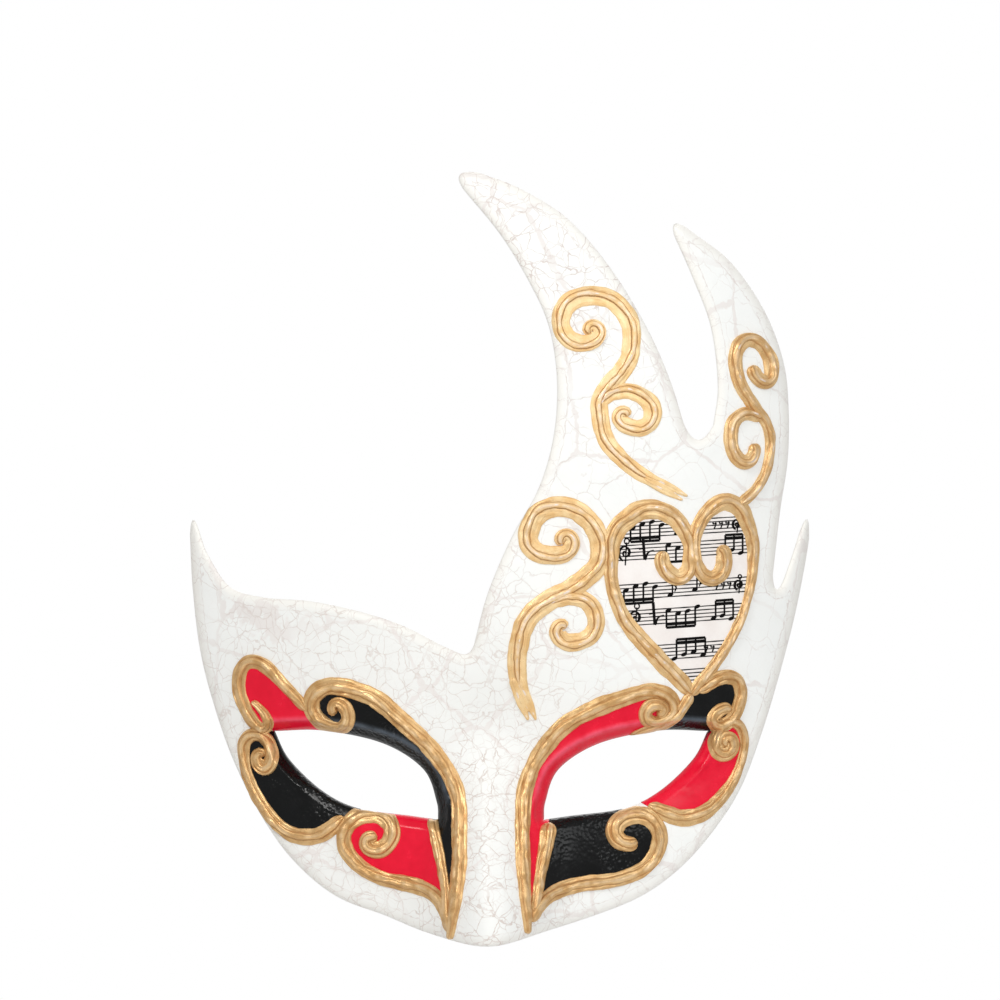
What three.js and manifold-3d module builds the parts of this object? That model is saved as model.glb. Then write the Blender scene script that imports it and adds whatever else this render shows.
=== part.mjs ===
// A Venetian masquerade half mask: a papier-mache shell with an uneven crest of three flames,
// a pasted music-paper heart, painted panels round the eyes and raised gilt scrolls.
// Millimetres, +Z up, +X to a viewer's right, the face of the mask looks along -Y.
// The origin is on the inner face of the nose bridge, level with the middle of the eyes.
import * as THREE from 'three';
import { mergeVertices } from 'three/addons/utils/BufferGeometryUtils.js';
import Module from 'manifold-3d';

const wasm = await Module();
wasm.setup();

// ---------- driving dimensions, mm ----------
const MASK_WIDTH = 189;         // across, from the horn to the small flame
const MASK_HEIGHT = 228;        // from the nose edge to the tip of the tall flame
const SHELL_WALL = 3.0;         // papier-mache with its lacquer
const SIDE_DEPTH = 85;          // depth of the half barrel that the shell is bent round
const BARREL_MARGIN = 17.5;     // how far the barrel runs past each side of the mask
const CREST_LEAN = 18;          // how far the tip of the tall flame leans back
const NOSE_RISE = 23;           // how far the nose stands out at its lower edge
const SOCKET_DEPTH = 4.5;       // how far the eye sockets are pressed in
const GILT_HEIGHT = 1.5;        // height of a gilt bead over the paint
const GILT_EDGE = 0.4;          // thickness of the gilt at its sides
const GILT_SCALE = 1.0;         // width of every gilt stroke against its drawn width
const LACQUER_GAP = 0.5;        // from the shell to the underside of the gilt
const SKIN_GAP = 0.45;          // from the shell to a painted panel or the paper
const SKIN_THICKNESS = 0.4;     // a painted panel or the pasted paper
const CLEARANCE = 0.45;         // between neighbours that meet edge to edge
const PATCH_WIDTH = 22;         // the glued card that holds a ribbon end
const PATCH_HEIGHT = 16;
const PATCH_THICKNESS = 1.6;
const PATCH_SIDE = 71.5;        // the patches' distance from the middle
const PATCH_LEVEL = 23;         // their height over the eyes' middle
const GRID_STEP = 6.2;          // facet size of the curved layers
const STROKE_STEP = 3.1;        // facet length along a gilt stroke

// ---------- the plan, drawn at this size and scaled to the driving dimensions ----------
const DRAWN_WIDTH = 189;
const DRAWN_HEIGHT = 228;
const DRAWN_LEFT = -91.5;
const DRAWN_RIGHT = 97.5;
const DRAWN_BOTTOM = -48.5;
const DRAWN_TOP = 179.5;
const across = MASK_WIDTH / DRAWN_WIDTH;
const upward = MASK_HEIGHT / DRAWN_HEIGHT;

// Each sweep is a smooth run of [x, z] points, and the corner after it is the point that its
// rounded tip or notch bends about on the way to the next sweep.
const OUTLINE = [
  { // tall flame, its left edge
    sweep: [[-5, 38.5], [-1, 53.5], [6, 70], [14, 84.5], [18.5, 100], [19.5, 117], [17, 133],
      [11, 146.5], [2.5, 160.5], [-8, 173.5]],
    corner: [-13, 180.5],
  },
  { // tall flame, its right edge
    sweep: [[-3.5, 179], [9, 174], [23, 165], [35.5, 150.5], [46, 133.5], [53, 118], [57.5, 104]],
    corner: [61.5, 94.5],
  },
  { // second flame, its left edge
    sweep: [[66.5, 103.5], [68, 115.5], [66, 133], [60.5, 148], [55, 160.5]],
    corner: [53, 167.5],
  },
  { // second flame, its right edge
    sweep: [[60.5, 162], [72.5, 153], [83, 138.5], [89, 123], [90.5, 108.5], [90, 93], [87.5, 78],
      [85, 58.5]],
    corner: [85.5, 50.5],
  },
  { // small flame
    sweep: [[88.5, 57], [91, 63.5], [93.5, 70.5]],
    corner: [97.5, 81],
  },
  { // right cheek, nose and left cheek
    sweep: [[97, 69], [95.5, 61], [92, 45.5], [87, 28], [81.5, 11], [75, -5], [66.5, -17.5],
      [56, -28.5], [44, -36.5], [29, -42], [14.5, -45.5], [-1.5, -48], [-18, -46], [-31.5, -41.5],
      [-46.5, -36], [-59.5, -25.5], [-69.5, -12], [-77.5, 3], [-83.5, 19], [-88, 35.5],
      [-90.5, 54], [-91.5, 70.5]],
    corner: [-91, 80.5],
  },
  { // horn, its inner edge
    sweep: [[-87.5, 69], [-85.5, 64.5], [-78.5, 55], [-68, 52], [-53.5, 51], [-38.5, 48],
      [-26, 44], [-15, 38.5], [-10.5, 36.5]],
    corner: [-6.5, 34],
  },
];

// The right eye hole; the left one is its mirror image.
const EYE_UPPER = [[15.5, -13.5], [16, -8], [20, 1.5], [32, 9], [50, 12.5], [65, 12]];
const EYE_LOWER = [[65, 12], [60.5, 3.5], [50.5, -5.5], [39.5, -10.5], [23.5, -12.5],
  [15.5, -13.5]];

// Gilt strokes, each from the end inside its curl outwards. A stroke is cut back where it
// runs into one listed before it. 'taper' is the part of the width left at each end.
const HEART_LEFT = [[51, 64.5], [51.5, 60.5], [56.5, 58], [59, 62.5], [59, 67], [56.5, 73],
  [51, 77.5], [44.5, 78], [38.5, 74], [35.5, 67], [35.5, 58.5], [37, 50.5], [41.5, 43],
  [50.5, 33], [58.5, 24.5]];
const HEART_RIGHT = [[69, 65.5], [70, 61], [66.5, 57], [62, 60], [60.5, 67], [62, 73.5],
  [66, 79], [71.5, 80], [76.5, 75.5], [78.5, 65], [77.5, 54], [74, 44.5], [67, 32.5],
  [59.5, 23.5]];
const STROKES = [
  { name: 'gilt_heart_left', width: 4.6, taper: [0.5, 0.8], points: HEART_LEFT },
  { name: 'gilt_heart_right', width: 4.2, taper: [0.5, 0.8], points: HEART_RIGHT },
  { name: 'gilt_brow_scroll', width: 5.2, taper: [0.35, 0.6], points: [[22.5, 70.5], [23.5, 68],
    [20.5, 65], [14, 65.5], [11, 71], [14.5, 77], [22, 78.5], [28.5, 75], [32, 68.5], [30.5, 61],
    [24.5, 55.5], [17, 51.5], [11, 45.5], [7.5, 37.5], [8, 28.5], [12, 16.5]] },
  { name: 'gilt_brow_curl', width: 4.4, taper: [0.35, 0.8], points: [[20.5, 42.5], [23.5, 39.5],
    [29.5, 41], [31, 46], [27.5, 51.5], [21, 52], [17, 50]] },
  { name: 'gilt_tall_flame_scroll', width: 5.2, taper: [0.3, 0.5], points: [[30.5, 131.5],
    [29.5, 128.5], [23.5, 128.5], [20.5, 134], [23.5, 139.5], [30, 142], [37, 140], [41.5, 133.5],
    [41.5, 125.5], [37.5, 117.5], [32.5, 111], [32.5, 103.5], [36, 96.5], [44, 89], [57, 82]] },
  { name: 'gilt_tall_flame_curl', width: 4.6, taper: [0.3, 0.8], points: [[39.5, 105.5],
    [41.5, 103], [46.5, 103.5], [48, 108], [44.5, 112.5], [38, 113.5], [32, 109.5]] },
  { name: 'gilt_second_flame_scroll', width: 4, taper: [0.4, 0.8], points: [[78.5, 121.5],
    [80, 118], [83.5, 117], [85, 121], [82.5, 127], [77, 129], [73.5, 123.5], [75.5, 115.5],
    [80, 108.5], [84, 101.5], [84, 94], [80.5, 85], [74.5, 80]] },
  { name: 'gilt_second_flame_curl', width: 3.8, taper: [0.5, 0.8], points: [[78.5, 96],
    [77, 92.5], [73.5, 94], [72, 100], [74.5, 106], [81.5, 106]] },
  { name: 'gilt_heart_tail', width: 3.2, taper: [0.9, 0.6], points: [[59, 23], [55.5, 17.5],
    [49.5, 13.5], [42.5, 11.5]] },
  { name: 'gilt_right_brow', width: 4.4, taper: [0.35, 0.5], points: [[48, 20], [45, 18],
    [48.5, 15], [53.5, 18], [52, 23], [46, 24], [36.5, 21.5], [26.5, 17.5], [17, 9.5],
    [10.5, -2], [9, -15.5], [9.5, -30], [10.5, -43.5]] },
  { name: 'gilt_right_corner', width: 3.6, taper: [0.4, 0.8], points: [[69, 19], [66, 17],
    [69.5, 15.5], [73.5, 20], [73.5, 26.5], [68.5, 27.5], [62, 24.5]] },
  { name: 'gilt_right_cheek', width: 3, taper: [0.4, 0.7], points: [[71, 7.5], [71.5, 4.5],
    [67.5, 4.5], [66, 9.5], [70, 14], [75, 12.5], [75.5, 5.5], [71, -4.5], [63.5, -12],
    [56, -13], [47.5, -9.5]] },
  { name: 'gilt_right_nose_scroll', width: 4.3, taper: [0.5, 0.6], points: [[41.5, -19.5],
    [37.5, -18.5], [38.5, -13.5], [44.5, -12.5], [50, -18], [47, -26.5], [39, -30.5],
    [28.5, -32], [19, -33.5], [12, -41]] },
  { name: 'gilt_right_inner', width: 3.2, taper: [1, 0.6], points: [[17, -15], [15.5, -22.5],
    [14, -31], [12.5, -38.5]] },
  { name: 'gilt_left_brow', width: 4.7, taper: [0.35, 0.5], points: [[-45.5, 20], [-42.5, 17.5],
    [-44, 13.5], [-50.5, 15.5], [-53, 20.5], [-48.5, 25.5], [-40, 24.5], [-30.5, 19.5],
    [-19, 9], [-11.5, -1], [-9, -13], [-9.5, -29], [-11.5, -45.5]] },
  { name: 'gilt_left_corner', width: 3.4, taper: [0.5, 0.8], points: [[-69, 19], [-66.5, 14.5],
    [-69.5, 13.5], [-74, 21], [-74, 30], [-69, 31.5], [-61, 25], [-55, 19]] },
  { name: 'gilt_left_cheek', width: 3.6, taper: [0.4, 0.7], points: [[-70, 4], [-67.5, 1],
    [-65.5, 5.5], [-70, 10.5], [-74, 6], [-72.5, -2.5], [-66.5, -12.5], [-58, -18.5],
    [-50, -18], [-43.5, -13.5]] },
  { name: 'gilt_left_nose_scroll', width: 4.1, taper: [0.5, 0.6], points: [[-36.5, -20],
    [-32, -21.5], [-29.5, -16.5], [-35, -12], [-42.5, -16], [-41.5, -24], [-33.5, -30],
    [-24, -32], [-15.5, -35.5], [-12, -44]] },
  { name: 'gilt_left_inner', width: 2.7, taper: [1, 0.6], points: [[-17.5, -13], [-15.5, -21],
    [-13.5, -31], [-12.5, -42]] },
];

// Painted panels. Their edges run under the middle of the gilt, which cuts them back.
const PANELS = [
  { name: 'red_left_corner', colour: 0xeb1937, points: [[-75, 27], [-74, 21], [-70, 12.8],
    [-65, 12.8], [-57, 8], [-46.5, 8.5], [-47.5, 14], [-53, 19.5], [-64.5, 28], [-70, 32]] },
  { name: 'black_left_brow', colour: 0x0b0c0e, points: [[-48, 13], [-43, 14], [-42, 16.5],
    [-46, 22], [-43, 25], [-34.5, 22.5], [-19, 9], [-12.5, 1], [-9.5, -8], [-9, -19],
    [-11.5, -41], [-13.5, -29], [-17.5, -13], [-27, -1.5], [-45, 8.5]] },
  { name: 'black_left_cheek', colour: 0x0b0c0e, points: [[-66, 11.4], [-64, 11.4], [-48, -5],
    [-40, -8], [-43.5, -13.5], [-50.5, -18], [-59, -18], [-70.5, -6.5], [-74, 5.5], [-72, 10]] },
  { name: 'red_left_nose', colour: 0xeb1937, points: [[-29.5, -7.5], [-17.5, -7.5], [-17.5, -13],
    [-13, -37], [-21.5, -32.5], [-30.5, -31], [-38.5, -27.5], [-43, -22], [-42.5, -15.5],
    [-35, -12]] },
  { name: 'red_right_brow', colour: 0xeb1937, points: [[11.5, -11.5], [20.5, 0], [32, 5.5],
    [45.5, 10], [47.5, 13], [45, 18], [48, 24], [29, 19], [14, 5.5], [9, -15.5], [10.5, -41],
    [14.5, -27], [17, -14.5]] },
  { name: 'black_right_corner', colour: 0x0b0c0e, points: [[44, 9.5], [51.5, 14.5], [55, 17],
    [59, 23], [67.5, 27.5], [71.5, 28], [74.5, 25], [72.5, 18], [69, 14.5], [66.5, 12.8],
    [60, 12.8], [50, 9]] },
  { name: 'red_right_cheek', colour: 0xeb1937, points: [[66.5, 11.4], [66, 8], [68, 4.5],
    [71, 4], [75.5, 9], [73, -1], [68.5, -8], [61, -13], [53.5, -12], [46.5, -9], [44, -6.5],
    [56, 6.5], [62, 11.4]] },
  { name: 'black_right_nose', colour: 0x0b0c0e, points: [[20.5, -10.5], [17, -14.5], [14, -31],
    [12, -39.5], [19.5, -33.5], [39, -30.5], [47, -26.5], [50, -19.5], [46.5, -13],
    [38, -7.5]] },
];

// ---------- the curved face of the mask ----------
const smooth = (from, to, value) => {
  const t = Math.min(Math.max((value - from) / (to - from), 0), 1);
  return t * t * (3 - 2 * t);
};
const bump = (value, spread) => Math.exp(-((value / spread) ** 2));

const BARREL_HALF = DRAWN_WIDTH / 2 + BARREL_MARGIN;
const BARREL_LIMIT = 0.955 * BARREL_HALF;  // past here the barrel is carried on level
const LEAN_START = 30;                     // the crest leans back above this height
const NOSE_TOP = 14;                       // the nose grows from this height
const NOSE_BOTTOM = -50;                   // and is full here
const NOSE_SPREAD = 8;                     // its half width at the top
const NOSE_FLARE = 9;                      // and how much wider it is at the bottom
const BRIDGE_DEPTH = 3;                    // the hollow at the top of the nose
const BRIDGE_SPREAD = 14;                  // its half width
const BRIDGE_REACH = 13;                   // and its half height
const EYE_SIDE = 41;                       // middle of an eye hole from the mask's middle
const EYE_TILT = 0.22;                     // rise of the socket towards the temple
const SOCKET_SPREAD = 30;                  // half width of the pressed-in socket
const SOCKET_REACH = 13;                   // and its half height

// Depth of the outer face, in plan units, measured before it is set on the origin.
function rawForm(u, v) {
  const side = Math.min(Math.abs(u), BARREL_LIMIT) / BARREL_HALF;
  const barrel = SIDE_DEPTH * (1 - Math.sqrt(1 - side * side));
  const lean = CREST_LEAN * (Math.max(v - LEAN_START, 0) / (DRAWN_TOP - LEAN_START)) ** 2;
  const down = smooth(NOSE_TOP, NOSE_BOTTOM, v);
  const nose = -NOSE_RISE * down * bump(u, NOSE_SPREAD + NOSE_FLARE * down);
  const bridge = BRIDGE_DEPTH * bump(v - NOSE_TOP, BRIDGE_REACH) * bump(u, BRIDGE_SPREAD);
  const out = Math.abs(u) - EYE_SIDE;
  const level = v - EYE_TILT * out;
  const socket = SOCKET_DEPTH * bump(out, SOCKET_SPREAD) * bump(level, SOCKET_REACH);
  return barrel + lean + nose + bridge + socket;
}
const formDepth = (x, z) => rawForm(x / across, z / upward) - rawForm(0, 0) - SHELL_WALL;

// Outward direction of the face at a place in the plan, from its slopes over a short step.
const SLOPE_STEP = 0.25;
function outward(x, z) {
  const h = SLOPE_STEP;
  const slopeX = (formDepth(x + h, z) - formDepth(x - h, z)) / (2 * h);
  const slopeZ = (formDepth(x, z + h) - formDepth(x, z - h)) / (2 * h);
  return new THREE.Vector3(slopeX, -1, slopeZ).normalize();
}
function onFace(x, z, lift) {
  return new THREE.Vector3(x, formDepth(x, z), z).addScaledVector(outward(x, z), lift);
}

// ---------- solids ----------
const WELD = 1e-4;              // points nearer than this are one point
function toSolid(geometry) {
  const bare = geometry.clone();
  bare.deleteAttribute('normal');
  bare.deleteAttribute('uv');
  const merged = mergeVertices(bare, WELD);
  const vertProperties = new Float32Array(merged.getAttribute('position').array);
  const triVerts = new Uint32Array(merged.getIndex().array);
  return new wasm.Manifold(new wasm.Mesh({ numProp: 3, vertProperties, triVerts }));
}

function toMesh(name, solid, finish) {
  const result = solid.getMesh();
  const geometry = new THREE.BufferGeometry();
  geometry.setAttribute('position', new THREE.BufferAttribute(result.vertProperties, 3));
  geometry.setIndex(new THREE.BufferAttribute(result.triVerts, 1));
  geometry.computeVertexNormals();
  const mesh = new THREE.Mesh(geometry, new THREE.MeshStandardMaterial(finish));
  mesh.name = name;
  return mesh;
}

const toPlan = ([x, z]) => new THREE.Vector2(x * across, z * upward);

// A straight-sided block with the given plan, right through the mask from front to back.
const BLOCK_DEPTH = 400;
function block(shape, curveSegments) {
  const options = { depth: BLOCK_DEPTH, bevelEnabled: false, steps: 1, curveSegments };
  const geometry = new THREE.ExtrudeGeometry(shape, options);
  geometry.rotateX(Math.PI / 2);
  geometry.translate(0, BLOCK_DEPTH / 2, 0);
  return toSolid(geometry);
}

// A curved layer of even thickness that follows the face, wider than the mask.
const LAYER_MARGIN = 6;
function layer(frontLift, backLift) {
  const left = DRAWN_LEFT * across - LAYER_MARGIN;
  const right = DRAWN_RIGHT * across + LAYER_MARGIN;
  const bottom = DRAWN_BOTTOM * upward - LAYER_MARGIN;
  const top = DRAWN_TOP * upward + LAYER_MARGIN;
  const columns = Math.ceil((right - left) / GRID_STEP);
  const rows = Math.ceil((top - bottom) / GRID_STEP);
  const geometry = new THREE.BoxGeometry(right - left, 1, top - bottom, columns, 1, rows);
  geometry.translate((left + right) / 2, 0, (bottom + top) / 2);
  const place = geometry.getAttribute('position');
  for (let i = 0; i < place.count; i += 1) {
    const lift = place.getY(i) < 0 ? frontLift : backLift;
    const point = onFace(place.getX(i), place.getZ(i), lift);
    place.setXYZ(i, point.x, point.y, point.z);
  }
  return toSolid(geometry);
}

// ---------- outline and eye holes ----------
const EDGE_SEGMENTS = 2;        // straight edges between two points of the outline
const EYE_SEGMENTS = 3;         // and of an eye hole
function outlineShape() {
  const shape = new THREE.Shape();
  const runs = OUTLINE.map((run) => run.sweep.map(toPlan));
  shape.moveTo(runs[0][0].x, runs[0][0].y);
  OUTLINE.forEach((run, i) => {
    const corner = toPlan(run.corner);
    const next = runs[(i + 1) % runs.length][0];
    shape.splineThru(runs[i].slice(1));
    shape.quadraticCurveTo(corner.x, corner.y, next.x, next.y);
  });
  return shape;
}

function eyeShape(side) {
  const upper = EYE_UPPER.map(([x, z]) => toPlan([side * x, z]));
  const lower = EYE_LOWER.map(([x, z]) => toPlan([side * x, z]));
  const shape = new THREE.Shape();
  shape.moveTo(upper[0].x, upper[0].y);
  shape.splineThru(upper.slice(1));
  shape.splineThru(lower.slice(1));
  return shape;
}

const eyeHoles = [-1, 1].map((side) => block(eyeShape(side), EYE_SEGMENTS));
const withoutEyes = (solid) => solid.subtract(eyeHoles[0]).subtract(eyeHoles[1]);

function shell() {
  const edge = block(outlineShape(), EDGE_SEGMENTS);
  const body = withoutEyes(layer(0, -SHELL_WALL).intersect(edge));
  return toMesh('shell', body, { color: 0xf4f4f0, roughness: 0.4, metalness: 0 });
}

// ---------- gilt strokes ----------
// One short length of a stroke between two stations, with the stroke's own frames, so that its
// section stands square on the face.
class StrokeLength extends THREE.Curve {
  constructor(from, to) {
    super();
    this.ends = [from, to];
  }

  getPoint(t, target = new THREE.Vector3()) {
    return target.lerpVectors(this.ends[0].point, this.ends[1].point, t);
  }

  computeFrenetFrames() {
    return {
      tangents: this.ends.map((end) => end.along),
      normals: this.ends.map((end) => end.side),
      binormals: this.ends.map((end) => end.up),
    };
  }
}

// The stations of a stroke: where it is, which way it runs, and its sideways direction, which
// is shortened towards the ends so that the stroke tapers. 'reach' lengthens it at both ends.
const START_TAPER = 7;          // length of the taper inside the curl
const END_TAPER = 14;           // and at the far end
function strokeStations(stroke, lift, reach) {
  const plan = stroke.points.map(([x, z]) => new THREE.Vector3(x * across, 0, z * upward));
  const line = new THREE.CatmullRomCurve3(plan, false, 'centripetal');
  const count = Math.ceil(line.getLength() / STROKE_STEP);
  const places = line.getSpacedPoints(count);
  const points = places.map((place) => onFace(place.x, place.z, lift));
  return points.map((middle, i) => {
    const up = outward(places[i].x, places[i].z);
    const before = points[Math.max(i - 1, 0)];
    const after = points[Math.min(i + 1, count)];
    const along = after.clone().sub(before).normalize();
    const longer = reach * (Number(i === count) - Number(i === 0));
    const point = middle.clone().addScaledVector(along, longer);
    const side = up.clone().cross(along).normalize();
    const fromStart = smooth(0, START_TAPER, i * STROKE_STEP);
    const fromEnd = smooth(0, END_TAPER, (count - i) * STROKE_STEP);
    const share = Math.min(stroke.taper[0] + (1 - stroke.taper[0]) * fromStart,
      stroke.taper[1] + (1 - stroke.taper[1]) * fromEnd);
    return { point, along, up, side: side.multiplyScalar(share) };
  });
}

function sweep(stroke, section, lift, reach) {
  const stations = strokeStations(stroke, lift, reach);
  const lengths = stations.slice(1).map((station, i) => {
    const extrudePath = new StrokeLength(stations[i], station);
    const options = { steps: 1, bevelEnabled: false, extrudePath };
    return toSolid(new THREE.ExtrudeGeometry(section, options));
  });
  return lengths.reduce((whole, length) => whole.add(length));
}

const sectionShape = (points) => new THREE.Shape(points.map(([a, b]) => new THREE.Vector2(a, b)));

// A bead: flat under, thin at the sides, with a ridge along the middle.
function bead(stroke) {
  const half = stroke.width * GILT_SCALE / 2;
  const section = sectionShape([[-half, 0], [half, 0], [half, GILT_EDGE], [0, GILT_HEIGHT],
    [-half, GILT_EDGE]]);
  return sweep(stroke, section, LACQUER_GAP, 0);
}

// The room that a stroke needs, cut out of whatever meets it.
const ROOM_DROP = 1;            // how far the room reaches below and above the stroke
function room(stroke) {
  const half = stroke.width * GILT_SCALE / 2 + CLEARANCE;
  const height = GILT_HEIGHT + 2 * ROOM_DROP;
  const section = sectionShape([[-half, 0], [half, 0], [half, height], [-half, height]]);
  return sweep(stroke, section, LACQUER_GAP - ROOM_DROP, CLEARANCE);
}

const rooms = STROKES.map(room);
const clearOf = (solid, others) => others.reduce((left, other) => left.subtract(other), solid);

function giltStrokes() {
  return STROKES.map((stroke, i) => {
    const body = clearOf(withoutEyes(bead(stroke)), rooms.slice(0, i));
    return toMesh(stroke.name, body, { color: 0xd0a263, roughness: 0.35, metalness: 0.6 });
  });
}

// ---------- skins on the face: painted panels and the pasted paper ----------
const skinLayer = layer(SKIN_GAP + SKIN_THICKNESS, SKIN_GAP);
const largest = (solid) => solid.decompose().reduce((a, b) => (a.volume() > b.volume() ? a : b));

function skin(name, points, finish) {
  const whole = skinLayer.intersect(block(new THREE.Shape(points.map(toPlan)), 1));
  return toMesh(name, largest(clearOf(withoutEyes(whole), rooms)), finish);
}

function paintedPanels() {
  return PANELS.map(({ name, colour, points }) => {
    return skin(name, points, { color: colour, roughness: 0.3, metalness: 0 });
  });
}

// The paper's edge follows both sides of the heart, from the cleft round to the tip.
const CLEFT = 5;                // the strokes' points before this one curl inside the heart
function musicHeart() {
  const edge = [...HEART_LEFT.slice(CLEFT - 1), ...HEART_RIGHT.slice(CLEFT - 1).reverse()];
  return skin('music_heart', edge, { color: 0xf5eee9, roughness: 0.55, metalness: 0 });
}

// ---------- ribbon patches on the inner face ----------
const PATCH_SPARE = 2;          // card that is cut away where it beds on the curved shell
function ribbonPatch(name, side) {
  const x = side * PATCH_SIDE * across;
  const z = PATCH_LEVEL * upward;
  const outwardHere = outward(x, z);
  const stock = PATCH_THICKNESS + PATCH_SPARE;
  const geometry = new THREE.BoxGeometry(PATCH_WIDTH, PATCH_HEIGHT, stock);
  const facing = new THREE.Matrix4().lookAt(new THREE.Vector3(), outwardHere,
    new THREE.Vector3(0, 0, 1));
  geometry.applyMatrix4(facing);
  const middle = onFace(x, z, -SHELL_WALL - PATCH_THICKNESS + stock / 2);
  geometry.translate(middle.x, middle.y, middle.z);
  const shellRoom = layer(SHELL_WALL, -SHELL_WALL - CLEARANCE);
  const body = toSolid(geometry).subtract(shellRoom);
  return toMesh(name, body, { color: 0xe9e3d6, roughness: 0.85, metalness: 0 });
}

// ---------- the mask ----------
const mask = new THREE.Group();
mask.add(
  shell(),
  musicHeart(),
  ...paintedPanels(),
  ...giltStrokes(),
  ribbonPatch('ribbon_patch_left', -1),
  ribbonPatch('ribbon_patch_right', 1),
);

export default mask;
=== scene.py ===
"""The looks of a Venetian half mask: crackle-lacquered papier-mache, painted panels round the
eyes, a heart of pasted music paper, and scrolls of raised gilding paste.

Every shape is worked out in millimetres in the plan (x across, z up) and laid on one curved
face, y = face(x, z), which a viewer sees from -Y. A mesh is put into metres as it is made.
"""

import bpy
import bmesh
import numpy as np
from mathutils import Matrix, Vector
from mathutils.geometry import delaunay_2d_cdt


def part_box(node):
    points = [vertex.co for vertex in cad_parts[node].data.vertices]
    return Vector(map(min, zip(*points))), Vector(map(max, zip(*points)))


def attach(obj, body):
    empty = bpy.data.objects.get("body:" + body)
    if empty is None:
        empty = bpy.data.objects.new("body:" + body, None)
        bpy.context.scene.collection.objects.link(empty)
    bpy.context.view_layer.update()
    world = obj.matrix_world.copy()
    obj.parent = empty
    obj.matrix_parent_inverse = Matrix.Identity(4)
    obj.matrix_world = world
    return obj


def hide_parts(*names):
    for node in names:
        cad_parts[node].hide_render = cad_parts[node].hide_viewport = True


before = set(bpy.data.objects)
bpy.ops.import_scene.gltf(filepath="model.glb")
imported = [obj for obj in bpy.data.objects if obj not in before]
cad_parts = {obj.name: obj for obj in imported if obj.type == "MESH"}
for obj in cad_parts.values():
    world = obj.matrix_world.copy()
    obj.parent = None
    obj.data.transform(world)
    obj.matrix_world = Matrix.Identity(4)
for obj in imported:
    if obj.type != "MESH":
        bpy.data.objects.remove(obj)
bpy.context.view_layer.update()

MM = 0.001

# ---------- driving dimensions, mm ----------
DRAWN_TOP = 179.5          # top of the tall flame
EYE_MIDDLE = 41.0          # from the middle of the mask to the middle of an eye
WALL = 3.0                 # papier-mache with its lacquer
SIDE_DEPTH = 85.0          # depth of the half barrel that the shell is bent round
BARREL_HALF = 112.0        # half of the barrel's width
CREST_LEAN = 18.0          # how far the tip of the tall flame leans back
NOSE_RISE = 23.0           # how far the nose stands out at its lower edge
SOCKET_DEPTH = 4.5         # how far the eye sockets are pressed in
SHOULDER = 3.4             # width of the rounded outer edge
BACK_ROUND = 1.4           # width of the rounding at the back of every edge
EYE_ROUND = 1.1            # and at the front of an eye hole
RIM_WIDTH = 3.3            # the eye rims turn inwards this far from the hole
RIM_TURN = 3.0             # and by this much at the hole
BAND_LIFT = 0.34           # thickness of the flat gilt band
BEAD_RISE = 0.85           # height of a bead over its band, as a share of its half width
PAINT = 0.14               # thickness of a paint film
PAPER = 0.2                # thickness of the pasted paper
INK = 0.06                 # ink stands this much over the paper
GRID = 1.7                 # spacing of the shell's mesh
PLAN_BOX = ((-94, 100), (-50, 182))     # across and up, a little larger than the mask
RIM_RINGS = 5.4            # the rings of mesh round an eye reach this far from the hole
STROKE_STEP = 0.45         # spacing of the points along a gilt stroke
UNDERSIDE = 0.35           # how deep a stroke's underside is let into the shell
FILM_ROOT = 0.1            # and a paint film's or a printed mark's

# ---------- the plan, as listed points ------------------
# Each sweep is a smooth run of points, and the corner after it is the point that its rounded
# tip or notch bends about on the way to the next sweep.
OUTLINE = [
    ([(-5, 38.5), (-1, 53.5), (6, 70), (14, 84.5), (18.5, 100), (19.5, 117), (17, 133),
      (11, 146.5), (2.5, 160.5), (-8, 173.5)], (-13, 180.5)),
    ([(-3.5, 179), (9, 174), (23, 165), (35.5, 150.5), (46, 133.5), (53, 118), (57.5, 104)],
     (61.5, 94.5)),
    ([(66.5, 103.5), (68, 115.5), (66, 133), (60.5, 148), (55, 160.5)], (53, 167.5)),
    ([(60.5, 162), (72.5, 153), (83, 138.5), (89, 123), (90.5, 108.5), (90, 93), (87.5, 78),
      (85, 58.5)], (85.5, 50.5)),
    ([(88.5, 57), (91, 63.5), (93.5, 70.5)], (97.5, 81)),
    ([(97, 69), (95.5, 61), (92, 45.5), (87, 28), (81.5, 11), (75, -5), (66.5, -17.5), (56, -28.5),
      (44, -36.5), (29, -42), (14.5, -45.5), (-1.5, -48), (-18, -46), (-31.5, -41.5), (-46.5, -36),
      (-59.5, -25.5), (-69.5, -12), (-77.5, 3), (-83.5, 19), (-88, 35.5), (-90.5, 54),
      (-91.5, 70.5)], (-91, 80.5)),
    ([(-87.5, 69), (-85.5, 64.5), (-78.5, 55), (-68, 52), (-53.5, 51), (-38.5, 48), (-26, 44),
      (-15, 38.5), (-10.5, 36.5)], (-6.5, 34)),
]
EYE_UPPER = [(15.5, -13.5), (16, -8), (20, 1.5), (32, 9), (50, 12.5), (65, 12)]
EYE_LOWER = [(65, 12), (60.5, 3.5), (50.5, -5.5), (39.5, -10.5), (23.5, -12.5), (15.5, -13.5)]

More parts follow.
